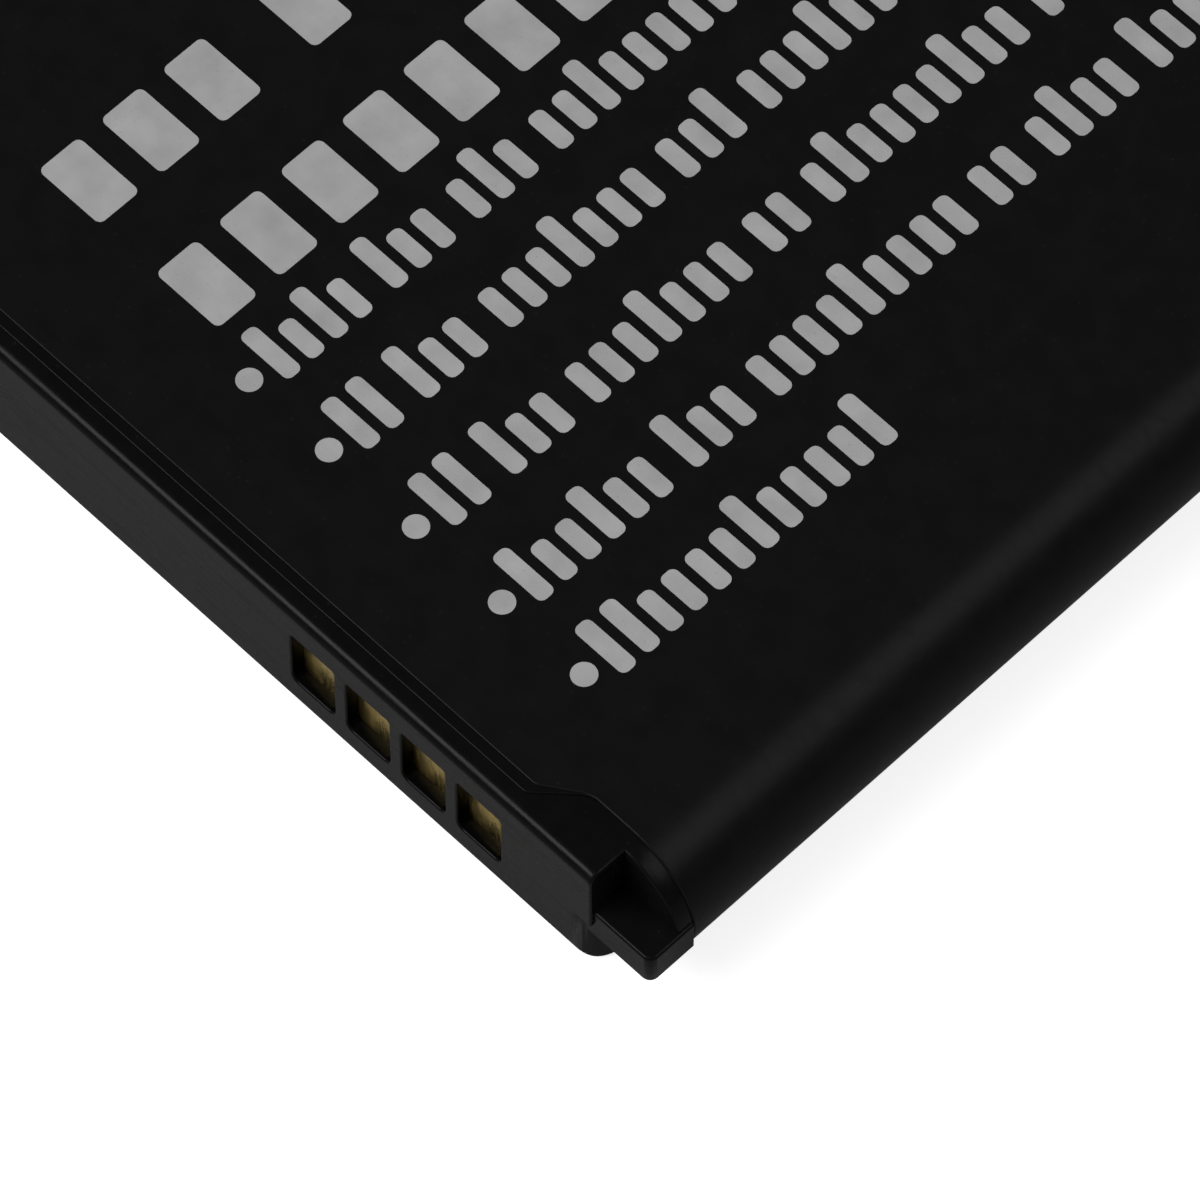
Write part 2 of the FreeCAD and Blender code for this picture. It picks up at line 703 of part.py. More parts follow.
def make_lid_paper():
    """The paper over the lid, open round the terminal, plug and positive plate, and the two cap tapes."""
    play = "2 * insulator_play"
    weld_middle = f"({POSITIVE_LEG} - weld_plate_inset - weld_plate_length / 2)"
    paper = flat_piece(
        "lid_insulator",
        "0",
        f"2 * {BAY_END} - {play}",
        f"{BAY_TALL} - {play}",
        INSULATOR_FRONT,
        "insulator_thick",
        "bay_round",
        holes=[
            ("0", f"gasket_width + {play}", f"{GASKET_TALL} + {play}", "gasket_round"),
            ("plug_offset", f"2 * plug_radius + {play}", f"2 * plug_radius + {play}", "plug_radius"),
            (weld_middle, f"weld_plate_length + {play}", f"{WELD_PLATE_TALL} + {play}", "bay_round"),
        ],
    )
    weld_plate = flat_piece(
        "positive_weld_plate",
        weld_middle,
        "weld_plate_length",
        WELD_PLATE_TALL,
        f"{LID} - weld_plate_thick",
        "weld_plate_thick",
        "board_corner",
    )
    tape_length = "(cap_end_block - cap_tape_border - cap_tape_inset)"
    tape_middle = f"(pack_width / 2 - cap_tape_inset - {tape_length} / 2)"
    tapes = [
        flat_piece(label, place, tape_length, "cap_tape_tall", CAP_DEPTH, "tape_film", "bay_round")
        for label, place in (("cap_tape_right", tape_middle), ("cap_tape_left", f"-{tape_middle}"))
    ]
    return [paper, weld_plate, *tapes]


def make_foot_tape():
    """The tape between the can's flat end and the foot."""
    body = new_body("foot_tape")
    sketch = section_sketch(body, "foot_tape_outline", CAN_END)
    pack_section(sketch, "label_film + can_round")
    pad(body, "foot_tape_sheet", sketch, "tape_film")
    return body


def make_board():
    """The protection board against the cap's front wall, with its weld plates."""
    length = f"({BOARD_RIGHT} - {BOARD_LEFT})"
    middle = f"({BOARD_RIGHT} + {BOARD_LEFT}) / 2"
    tall = f"{BAY_TALL} - 2 * board_play"
    board = flat_piece("protection_board", middle, length, tall, "front_wall", "board_thick", "board_corner")
    plates = [
        flat_piece(
            label,
            place,
            "board_plate_length",
            "board_plate_tall",
            BOARD_BACK,
            "board_plate_thick",
            "board_corner",
        )
        for label, place in (
            ("board_plate_positive", f"{BOARD_RIGHT} - board_plate_inset - board_plate_length / 2"),
            ("board_plate_negative", f"{BOARD_LEFT} + board_plate_inset + board_plate_length / 2"),
        )
    ]
    return [board, *plates]


def make_contact_pads():
    """One gold-faced plate behind each window, soldered to the front of the board."""
    return [
        flat_piece(
            f"contact_pad_{place + 1}",
            f"(pack_width / 2 - window_inset - window_pitch * {place})",
            "pad_width",
            "pad_tall",
            "front_wall - pad_thick",
            "pad_thick",
            None,
            WINDOW_MIDDLE,
        )
        for place in range(int(sizes["window_count"]))
    ]


def folded_strip(label, board_end, lid_end, leg, lid_face, to_left):
    """A nickel strip folded into a U, with a run on a board plate, a leg, and a run on the cell's side."""
    inside = f"{leg} + strip_thick" if to_left else f"{leg} - strip_thick"
    outer_bend = "strip_bend + strip_thick"
    board_inner = f"{BOARD_PLATE_BACK} + strip_thick"
    lid_inner = f"{lid_face} - strip_thick"
    body = new_body(label)
    sketch = plan_sketch(body, label + "_fold", f"{MIDDLE} - strip_width / 2")
    outline(
        sketch,
        [
            (board_end, BOARD_PLATE_BACK),
            (leg, BOARD_PLATE_BACK, outer_bend),
            (leg, lid_face, outer_bend),
            (lid_end, lid_face),
            (lid_end, lid_inner),
            (inside, lid_inner, "strip_bend"),
            (inside, board_inner, "strip_bend"),
            (board_end, board_inner),
        ],
    )
    pad(body, label + "_ribbon", sketch, "strip_width")
    return body


def make_strips():
    """The strips that join the cell, the thermal fuse and the board."""
    positive = folded_strip(
        "positive_strip",
        f"{BOARD_RIGHT} - board_plate_inset - board_plate_length + strip_thick",
        f"{POSITIVE_LEG} - weld_plate_inset - weld_plate_length + strip_thick",
        POSITIVE_LEG,
        f"({LID} - weld_plate_thick)",
        to_left=False,
    )
    fuse_strip = folded_strip(
        "fuse_strip",
        f"{BOARD_LEFT} + board_plate_inset + board_plate_length - strip_thick",
        f"{FUSE_LEFT} - lead_gap",
        FUSE_LEG,
        HEAD_FRONT,
        to_left=True,
    )
    negative = new_body("negative_strip")
    ribbon = section_sketch(negative, "negative_strip_outline", f"{HEAD_FRONT} - strip_thick")
    half = "strip_width / 2"
    left, right = f"{FUSE_RIGHT} + lead_gap", "strip_lap"
    rectangle(ribbon, left, right, f"{MIDDLE} - {half}", f"{MIDDLE} + {half}")
    pad(negative, "negative_strip_ribbon", ribbon, "strip_thick")
    return [positive, fuse_strip, negative]


def make_thermal_fuse():
    """The thermal fuse on the lid's paper, with a flat lead out of each end at the rivet head's level."""
    centre = f"({FUSE_LEFT} + {FUSE_RIGHT}) / 2"
    front = f"({INSULATOR_FRONT} - fuse_thick)"
    body = flat_piece("thermal_fuse", centre, "fuse_length", "fuse_tall", front, "fuse_thick", "fuse_corner")
    leads = section_sketch(body, "fuse_lead_outline", HEAD_FRONT)
    centred_rectangle(leads, centre, "fuse_length + 2 * lead_length", "strip_width", "fuse_corner")
    pad(body, "fuse_leads", leads, "strip_thick")
    return body


def make_chip(label, kind):
    """A moulded chip on the back of the board, with flat legs along its upper and lower sides."""
    centre, length, tall = f"({BOARD_LEFT} + {kind}_place)", f"{kind}_length", f"{kind}_tall"
    leg_pitch, leg_count = f"{kind}_leg_pitch", f"{kind}_leg_count"
    body = flat_piece(label, centre, length, tall, BOARD_BACK, f"{kind}_thick")
    legs = section_sketch(body, label + "_leg_outline", BOARD_BACK)
    first = f"({centre} - ({leg_pitch}) * ({leg_count} - 1) / 2)"
    left, right = f"{first} - leg_width / 2", f"{first} + leg_width / 2"
    rectangle(legs, left, right, f"{MIDDLE} - {tall} / 2 - leg_length", f"{MIDDLE} - {tall} / 4")
    rectangle(legs, left, right, f"{MIDDLE} + {tall} / 4", f"{MIDDLE} + {tall} / 2 + leg_length")
    leg_pair = pad(body, label + "_leg_pair", legs, "leg_thick")
    row_of(body, label + "_legs", leg_pair, legs, leg_pitch, leg_count)
    return body


def make_board_parts():
    """Everything soldered to the back of the board."""
    pieces = [make_chip("switch_transistor", "switch"), make_chip("protection_ic", "ic")]
    kinds = [("resistor", "resistor_thick"), ("capacitor", "capacitor_thick")]
    for place in range(SMALL_PARTS):
        kind, thick = kinds[place % 2]
        centre = f"({BOARD_LEFT} + small_part_place + small_part_pitch * {place})"
        label = f"{kind}_{place // 2 + 1}"
        pieces.append(flat_piece(label, centre, "small_part_width", "small_part_tall", BOARD_BACK, thick))
    row_end = f"({BOARD_LEFT} + small_part_place + small_part_pitch * {SMALL_PARTS})"
    centre = f"({row_end} + thermistor_width / 2)"
    thermistor_size = ("thermistor_width", "thermistor_tall")
    pieces.append(flat_piece("thermistor", centre, *thermistor_size, BOARD_BACK, "thermistor_thick"))
    return pieces


pieces = [
    make_contact_cap(),
    make_end_foot(),
    make_label_wrap(),
    make_cell_can(),
    *make_terminal(),
    make_fill_plug(),
    *make_lid_paper(),
    make_foot_tape(),
    *make_board(),
    *make_contact_pads(),
    *make_strips(),
    make_thermal_fuse(),
    *make_board_parts(),
]
document.recompute()

for thing in document.Objects:
    if "Invalid" in thing.State or "Error" in thing.State:
        raise RuntimeError(f"{thing.Label} did not build: {thing.State}")
for piece in pieces:
    if piece.Shape.isNull() or not piece.Shape.isValid():
        raise RuntimeError(f"{piece.Label} has no valid shape")

os.makedirs("parts", exist_ok=True)
for piece in pieces:
    piece.Shape.exportStep(f"parts/{piece.Label}.step")
    print(f"{piece.Label}: {len(piece.Shape.Solids)} solid, {piece.Shape.Volume:.3f} mm3")
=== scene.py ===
import math

import bpy
from bpy.props import FloatProperty, FloatVectorProperty, IntProperty, PointerProperty
from bpy.types import Operator, Panel, PropertyGroup
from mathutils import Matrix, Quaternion, Vector


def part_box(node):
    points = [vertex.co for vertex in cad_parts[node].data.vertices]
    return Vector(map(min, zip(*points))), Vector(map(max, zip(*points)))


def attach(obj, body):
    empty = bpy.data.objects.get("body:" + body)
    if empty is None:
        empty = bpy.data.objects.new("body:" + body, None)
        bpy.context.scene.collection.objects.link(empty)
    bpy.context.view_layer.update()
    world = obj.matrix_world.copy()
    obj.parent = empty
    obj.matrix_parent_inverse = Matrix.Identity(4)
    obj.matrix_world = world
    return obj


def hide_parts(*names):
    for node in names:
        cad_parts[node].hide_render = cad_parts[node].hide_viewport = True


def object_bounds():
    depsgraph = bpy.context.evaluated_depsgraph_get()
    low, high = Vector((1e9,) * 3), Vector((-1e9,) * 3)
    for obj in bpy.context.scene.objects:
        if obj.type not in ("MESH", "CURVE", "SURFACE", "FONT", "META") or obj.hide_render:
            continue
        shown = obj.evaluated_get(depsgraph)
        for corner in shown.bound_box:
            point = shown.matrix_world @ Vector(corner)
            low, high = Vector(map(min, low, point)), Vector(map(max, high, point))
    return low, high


bl_info = {
    "name": "Flat Battery Pack",
    "version": (1, 0, 0),
    "blender": (4, 5, 0),
    "location": "View3D > Sidebar > Battery",
    "description": "Dresses the packed model of a flat rechargeable battery pack",
    "category": "Object",
}

MM = 0.001
# Two places closer than this are the same
NEAR = 0.002 * MM
# Edges that bend by more than this are sharp, and faces that bend by less than FLAT are one flat face
SHARP = math.radians(28.0)
FLAT = math.radians(0.5)
SMOOTH = math.radians(30.0)
# An edge runs along an axis when its reach along the axis is more than this share of its length, and a face
# looks along an axis when its normal's part along the axis is more than FACING
STRAIGHT, FACING = 0.999, 0.9
# Segments of a rounding, from the finest to the widest, and sides of a round cutter and of a printed dot
FINE_STEPS, SMALL_STEPS, WINDOW_STEPS, WIDE_STEPS = 3, 4, 5, 6
CUTTER_SIDES, DOT_SIDES = 48, 32
# How far a lug reaches into the rounded corner below it, as a share of that corner's radius
LUG_ROOT_SHARE = 0.6
# Insets from a contact's edge to its crown
CROWN_STEPS, CROWN_STEP = 3, 0.25 * MM
# Every so many blocks of a row, by a plain count, one is tall
TALL_EVERY = 5
BODY = "root"

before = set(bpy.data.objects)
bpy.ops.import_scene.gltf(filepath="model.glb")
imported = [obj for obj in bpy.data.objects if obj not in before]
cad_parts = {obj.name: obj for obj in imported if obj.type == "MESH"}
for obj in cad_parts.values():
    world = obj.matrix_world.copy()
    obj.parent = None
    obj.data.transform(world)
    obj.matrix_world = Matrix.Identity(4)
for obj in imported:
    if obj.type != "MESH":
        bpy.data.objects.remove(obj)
CAD_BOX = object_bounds()
PACK_LOW, PACK_HIGH = CAD_BOX
PACK_SIZE = PACK_HIGH - PACK_LOW
FILM_LOW, FILM_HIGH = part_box("label_wrap")
CAP_LOW, CAP_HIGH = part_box("contact_cap")
CONTACTS = sorted(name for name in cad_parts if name.startswith("contact_pad_"))
FRONT = PACK_LOW.y
FILM_SETBACK = FILM_LOW.y - FRONT
MIDDLE = (PACK_LOW.z + PACK_HIGH.z) / 2

# Marks that stand for the print: rows of plain rounded blocks, each led by a dot. A row is the place of its
# dot along X and the number of blocks in each of its groups.
DOTTED_ROWS = (
    (6.02, (4, 3, 3, 8, 7, 4, 6)),
    (9.68, (2, 3, 7, 3, 8, 9)),
    (13.64, (2, 3, 7, 2, 9, 2, 4)),
    (17.52, (6, 3, 9, 2, 4, 5, 6)),
    (21.19, (12,)),
)
# Wide rows have larger blocks, further apart, and no dot. A row is the place of its foot along X, the place
# of its first block along Y, and the number of blocks in each of its groups.
WIDE_ROWS = (
    (3.92, -25.89, (7,)),
    (-1.58, -25.89, (3, 6, 4)),
)


def length(name, value, description):
    """A length that a user can set, given in millimetres."""
    return FloatProperty(name=name, description=description, default=value * MM, unit="LENGTH", precision=5)


def angle(name, value, description):
    """An angle that a user can set, given in degrees."""
    return FloatProperty(name=name, description=description, default=math.radians(value), subtype="ANGLE")


def colour(name, value, description):
    """A colour that a user can set."""
    return FloatVectorProperty(name=name, description=description, default=value, subtype="COLOR")


class BatterySizes(PropertyGroup):
    round_steps: IntProperty(
        name="Round steps", description="Faces round each quarter of the sides", default=18, min=4
    )
    film: length("Film", 0.1, "Thickness of the printed film")
    film_edge: length("Film edge", 0.075, "Rounding of the film's cut edge")
    film_step_outer: length("Film step, outer end", 4.6, "From the pack's side to the film's step")
    film_step_inner: length("Film step, inner end", 6.1, "From the pack's side to where the step begins")
    film_corner_setback: length("Film corner setback", 2.13, "From the contact end to the film's corners")
    step_round_outer: length("Outer step round", 1.0, "Radius of the step's outer bend")
    step_round_inner: length("Inner step round", 0.4, "Radius of the step's inner bend")
    seat_gap: length("Seat gap", 0.36, "From the film's front edge to the edge of its seat")
    seat_corner_gap: length("Seat corner gap", 0.04, "The same gap at the corners")
    seam: length("Seam", 0.3, "Width of the seam underneath")
    seam_inset: length("Seam inset", 9.0, "From the pack's side to the seam")
    cap_edge: length("Cap edge", 0.4, "Rounding along the contact end")
    land_drop: length("Land drop", 0.08, "From the film's surface down to the cap's land at the contact end")
    ledge_drop: length("Ledge drop", 0.012, "From the film's surface down to the ledge ahead of it")
    ledge_gap: length("Ledge gap", 0.01, "From the film's front edge to the ledge")
    ledge_width: length("Ledge width", 0.41, "From the film's front edge to the ledge's own")
    ledge_round: length("Ledge round", 0.055, "Rounding of the ledge's front edge")
    fine_edge: length("Fine edge", 0.08, "Rounding of the windows and of the notches")
    window_width: length("Window width", 1.95, "Width of a contact window")
    window_height: length("Window height", 2.8, "Height of a contact window")
    window_low_round: length("Window low round", 0.3, "Radius of a window's lower corners")
    window_top_round: length("Window top round", 0.12, "Radius of a window's upper corners")
    contact_play: length("Contact play", 0.1, "Space round the row of contacts in its recess")
    wall: length("Wall", 0.5, "Wall of the cap above and below the board")
    front_wall: length("Front wall", 0.7, "Wall of the cap in front of the board")
    end_block: length("End block", 4.6, "Solid end of the cap beside the board")
    notch_depth: length("Notch depth", 1.5, "How far the corner notches reach back")
    notch_width: length("Notch width", 2.5, "Width of the notch above a lug")
    low_notch_width: length("Low notch width", 2.2, "Width of the notch below a lug")
    low_notch_round: length("Low notch round", 1.2, "Radius of the cap's corner beside the low notch")
    lug_thickness: length("Lug thickness", 1.45, "Thickness of a corner lug")
    lug_drop: length("Lug drop", 0.275, "From the pack's middle down to a lug's middle")
    lug_setback: length("Lug setback", 0.15, "From the contact end to a lug's front")
    lug_edge: length("Lug edge", 0.12, "Rounding of a lug's upper edge")
    lug_corner: length("Lug corner", 0.34, "Rounding of a lug's outer corner, seen from above")
    print_rise: length("Print rise", 0.015, "How far the print stands above the film")
    dot: length("Dot", 0.9, "Diameter of the dot that leads a row")
    dot_place: length("Dot place", 4.99, "From the contact end to the dots")
    block_start: length("Block start", 0.85, "From a dot's middle to its first block")
    block_pitch: length("Block pitch", 1.07, "From one block to the next")
    block_width: length("Block width", 0.68, "Width of a block")
    low_block: length("Low block", 1.7, "Height of a low block of a row")
    tall_block: length("Tall block", 2.3, "Height of a tall block of a row")
    row_drop: length("Row drop", 0.9, "From a dot's middle down to its row's foot")
    wide_pitch: length("Wide pitch", 2.75, "Pitch of the blocks in a wide row")
    wide_width: length("Wide width", 1.8, "Width of a block in a wide row")
    wide_height: length("Wide height", 2.9, "Height of a block in a wide row")
    block_round: length("Block round", 0.24, "Radius at the corners of a block")
    contact_crown: length("Contact crown", 0.05, "How far a contact's middle stands out")


class BatteryColours(PropertyGroup):
    moulding: colour("Moulding", (0.0035, 0.0035, 0.0037), "Black of the moulded ends")
    film: colour("Film", (0.0055, 0.0055, 0.0057), "Black of the printed film")
    ink: colour("Ink", (0.34, 0.34, 0.34), "Pale grey of the print")
    gold: colour("Gold", (0.5, 0.37, 0.115), "Plating of the contacts")
    aluminium: colour("Aluminium", (0.6, 0.61, 0.62), "The cell's can")
    nickel: colour("Nickel", (0.55, 0.53, 0.49), "Strips and plates")
    paper: colour("Paper", (0.5, 0.56, 0.38), "The paper over the lid")
    tape: colour("Tape", (0.62, 0.62, 0.57), "The adhesive tapes")
    laminate: colour("Laminate", (0.016, 0.075, 0.04), "The lacquered board")
    epoxy: colour("Epoxy", (0.02, 0.02, 0.022), "Chips and resistors")
    ceramic: colour("Ceramic", (0.38, 0.27, 0.17), "Capacitors and the thermistor")
    gasket: colour("Gasket", (0.66, 0.65, 0.6), "The terminal's insulating gasket")
    floor: colour("Floor", (0.42, 0.42, 0.42), "The floor that the pack lies on")


class BatteryView(PropertyGroup):
    azimuth: angle("Azimuth", 45.0, "Turn of the view round the pack")
    elevation: angle("Elevation", 60.28, "Height of the view")
    roll: angle("Roll", 0.21, "Turn of the view about its own axis")
    distance: length("Distance", 309.84, "From the camera to its target")
    target: FloatVectorProperty(
        name="Target",
        description="The point of the printed face in the middle of the view",
        default=(19.637 * MM, -24.265 * MM, 5.8 * MM),
        unit="LENGTH",
    )
    lens: FloatProperty(name="Lens", description="Focal length in millimetres", default=295.1)
    sensor: FloatProperty(name="Sensor", description="Sensor width in millimetres", default=36.0)


# Shared shader groups


def add_node(tree, kind, links=(), **values):
    """Adds a node, sets its values and joins its inputs. A link is (input, output socket or value)."""
    node = tree.nodes.new(kind)
    for name, value in values.items():
        setattr(node, name, value)
    for name, source in links:
        if isinstance(source, bpy.types.NodeSocket):
            tree.links.new(source, node.inputs[name])
        else:
            node.inputs[name].default_value = source
    return node


def compute(tree, operation, *terms):
    """One step of arithmetic on numbers."""
    return add_node(tree, "ShaderNodeMath", enumerate(terms), operation=operation).outputs["Value"]


def vary(tree, mask, low, high):
    """A number that goes from low to high with a mask."""
    links = [("Value", mask), ("To Min", low), ("To Max", high)]
    return add_node(tree, "ShaderNodeMapRange", links).outputs["Result"]


def mask_of(tree, value, least, most):
    """A mask that goes from 0 to 1 while the value goes from least to most."""
    links = [("Value", value), ("From Min", least), ("From Max", most)]
    return add_node(tree, "ShaderNodeMapRange", links).outputs["Result"]


def scale_colour(tree, base, level):
    links = [(0, base), ("Scale", level)]
    return add_node(tree, "ShaderNodeVectorMath", links, operation="SCALE").outputs["Vector"]


def object_place(tree):
    return add_node(tree, "ShaderNodeTexCoord").outputs["Object"]


def new_group(name, inputs, outputs):
    """Starts a shader group. Inputs are (name, kind, default), and outputs are names of numbers."""
    group = bpy.data.node_groups.new(name, "ShaderNodeTree")
    for label, kind, default in inputs:
        socket = group.interface.new_socket(label, in_out="INPUT", socket_type=kind)
        socket.default_value = default
    for label in outputs:
        group.interface.new_socket(label, in_out="OUTPUT", socket_type="NodeSocketFloat")
    return group, group.nodes.new("NodeGroupInput").outputs, group.nodes.new("NodeGroupOutput").inputs


def grain_group():
    """The fine grain of a moulded, printed or rolled surface as a height, and a slow mottle from 0 to 1."""
    inputs = [("Grain per metre", "NodeSocketFloat", 6000.0), ("Mottle per metre", "NodeSocketFloat", 250.0)]
    group, given, out = new_group("Grain", inputs, ["Height", "Mottle"])
    for scale, detail, result in (("Grain per metre", 3.0, "Height"), ("Mottle per metre", 4.0, "Mottle")):
        links = [("Vector", object_place(group)), ("Scale", given[scale]), ("Detail", detail)]
        noise = add_node(group, "ShaderNodeTexNoise", links)
        group.links.new(noise.outputs["Fac"], out[result])
    return group


def streak_group():
    """Fine lines, such as scuffs or the marks of drawing and rolling, as a mask from 0 to 1."""
    inputs = [
        ("Lines per metre", "NodeSocketVector", (4000.0, 300.0, 4000.0)),
        ("Least", "NodeSocketFloat", 0.5),
        ("Most", "NodeSocketFloat", 0.7),
    ]
    group, given, out = new_group("Streaks", inputs, ["Streaks"])
    links = [(0, object_place(group)), (1, given["Lines per metre"])]
    place = add_node(group, "ShaderNodeVectorMath", links, operation="MULTIPLY")
    links = [("Vector", place.outputs["Vector"]), ("Scale", 1.0), ("Detail", 2.0)]
    noise = add_node(group, "ShaderNodeTexNoise", links).outputs["Fac"]
    group.links.new(mask_of(group, noise, given["Least"], given["Most"]), out["Streaks"])
    return group


def speck_group():
    """Scattered small specks, such as dust or pinholes in print, as a mask from 0 to 1."""
    inputs = [
        ("Specks per metre", "NodeSocketFloat", 3000.0),
        ("Size", "NodeSocketFloat", 0.25),
        ("Share", "NodeSocketFloat", 0.2),
    ]
    group, given, out = new_group("Specks", inputs, ["Specks"])
    links = [("Vector", object_place(group)), ("Scale", given["Specks per metre"])]
    cells = add_node(group, "ShaderNodeTexVoronoi", links)
    links = [("Value", cells.outputs["Distance"]), ("From Min", given["Size"]), ("From Max", 0.0)]
    near = add_node(group, "ShaderNodeMapRange", links, interpolation_type="SMOOTHSTEP")
    chance = add_node(group, "ShaderNodeSeparateColor", [("Color", cells.outputs["Color"])])
    chosen = compute(group, "LESS_THAN", chance.outputs["Red"], given["Share"])
    group.links.new(compute(group, "MULTIPLY", near.outputs["Result"], chosen), out["Specks"])
    return group


def weave_group():
    """The two crossing sets of threads in a glass cloth or a fibrous paper, as a height."""
    group, given, out = new_group("Weave", [("Threads per metre", "NodeSocketFloat", 2200.0)], ["Height"])
    heights = []
    for axis in ("X", "Z"):
        links = [("Vector", object_place(group)), ("Scale", given["Threads per metre"]), ("Distortion", 0.6)]
        heights.append(add_node(group, "ShaderNodeTexWave", links, bands_direction=axis).outputs["Fac"])
    group.links.new(compute(group, "MAXIMUM", *heights), out["Height"])
    return group


GROUPS = {"Grain": grain_group, "Streaks": streak_group, "Specks": speck_group, "Weave": weave_group}


def use_group(tree, name, **values):
    """Places a shared group in a material. It is built when the first material asks for it."""
    node = tree.nodes.new("ShaderNodeGroup")
    node.node_tree = bpy.data.node_groups.get(name) or GROUPS[name]()
    for label, value in values.items():
        node.inputs[label.replace("_", " ").capitalize()].default_value = value
    return node.outputs


# Materials. Roughness goes up and down by spread. Grain, mottle, specks and threads are counts per metre, and
# depth is in millimetres. A speck is so many times as bright as the colour round it. Streaks are counts along
# X, Y and Z, and roughen by scuff.
DEFAULT_FINISH = dict(
    spread=0.04, grain=6000.0, mottle=300.0, depth=0.003, metallic=0.0, specular=0.5,
    streaks=(300.0, 3000.0, 3000.0), scuff=0.08, specks=3000.0, speck_light=1.4, threads=0.0,
)
# How bright the darkest and the lightest mottle are, and how deep a streak is as a share of the grain's depth
MOTTLE_LIGHT = (0.75, 1.25)
STREAK_DEPTH = -0.5
# The walls of the windows, against the rest of the moulding: their painted shade, which darkens their colour,
# and their added roughness
WINDOW_PAINTED_SHADE, WINDOW_ROUGHER = 0.5, -0.12
# The stripe that a spring has rubbed on a contact: its place from the contact's middle, and its half width
# with and without its soft border
STRIPE_PLACE, STRIPE_REACH, STRIPE_CORE = 0.2 * MM, 0.35 * MM, 0.2 * MM
# Its brightness and that of the rest, how much of it a streak leaves, and its added roughness
STRIPE_LIGHT, REST_LIGHT, STRIPE_LEFT, STRIPE_ROUGHER = 1.3, 0.92, 0.3, -0.1
FINISHES = {
    "black_moulding": dict(
        colour="moulding", roughness=0.25, spread=0.08, grain=11000.0, mottle=1600.0, specular=0.06,
        scuff=0.06, speck_light=2.2,
    ),
    "printed_film": dict(
        colour="film", roughness=0.34, spread=0.06, grain=5000.0, mottle=900.0, specular=0.062,
        scuff=0.05, speck_light=1.6,
    ),
    "pale_ink": dict(
        colour="ink", roughness=0.5, grain=9000.0, mottle=700.0, specular=0.3, specks=6000.0,
        speck_light=0.75,
    ),
    "gold_contact": dict(
        colour="gold", roughness=0.33, spread=0.1, grain=7000.0, mottle=1500.0, depth=0.006, metallic=1.0,
        streaks=(9000.0, 900.0, 900.0), scuff=0.15, specks=2500.0, speck_light=0.45,
    ),
    "can_aluminium": dict(
        colour="aluminium", roughness=0.32, metallic=1.0, streaks=(5000.0, 150.0, 5000.0), scuff=0.15
    ),
    "nickel": dict(
        colour="nickel", roughness=0.28, metallic=1.0, streaks=(200.0, 6000.0, 6000.0), scuff=0.12
    ),
    "insulator_paper": dict(colour="paper", roughness=0.85, depth=0.008, speck_light=0.8, threads=2500.0),
    "adhesive_tape": dict(colour="tape", roughness=0.38, grain=2500.0),
    "board_laminate": dict(colour="laminate", roughness=0.35, threads=1600.0, depth=0.01),
    "chip_epoxy": dict(colour="epoxy", roughness=0.55, grain=9000.0, depth=0.004),
    "ceramic": dict(colour="ceramic", roughness=0.45, grain=7000.0, mottle=900.0),
    "gasket_plastic": dict(colour="gasket", roughness=0.4, grain=4000.0),
    "fuse_case": dict(colour="epoxy", roughness=0.3, depth=0.002),
}


def new_material(name):
    material = bpy.data.materials.new(name)
    material.use_nodes = True
    tree = material.node_tree
    return material, tree, tree.nodes["Principled BSDF"]


def split_place(tree):
    """The object's own X, Y and Z."""
    return add_node(tree, "ShaderNodeSeparateXYZ", [("Vector", object_place(tree))]).outputs


def contact_row():
    """The low and the high corner of the box round all the contacts."""
    boxes = [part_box(name) for name in CONTACTS]
    return Vector(map(min, *(box[0] for box in boxes))), Vector(map(max, *(box[1] for box in boxes)))


def window_shade_and_gloss_mask(tree):
    """A mask that is 1 on the walls of the contact windows, which get painted shade in their colour and are
    smoother and mirror the gold.
    """
    sizes = bpy.context.scene.battery_sizes
    low, high = contact_row()
    low.y, high.y = FRONT + sizes.fine_edge, FRONT + sizes.front_wall
    middle, reach = (low + high) / 2, (high - low) / 2
    inside = [compute(tree, "COMPARE", *terms) for terms in zip(split_place(tree), middle, reach)]
    return compute(tree, "MULTIPLY", compute(tree, "MULTIPLY", inside[0], inside[1]), inside[2])


def touch_marks(tree):
    """A mask that is 1 on an upright stripe of each contact, where a phone's spring has rubbed it."""
    middles = [(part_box(name)[0].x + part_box(name)[1].x) / 2 for name in CONTACTS]
    pitch = middles[1] - middles[0]
    across = split_place(tree)["X"]
    across = compute(tree, "WRAP", across, middles[0] + pitch / 2, middles[0] - pitch / 2)
    away = compute(tree, "ABSOLUTE", compute(tree, "SUBTRACT", across, middles[0] + STRIPE_PLACE))
    return mask_of(tree, away, STRIPE_REACH, STRIPE_CORE)


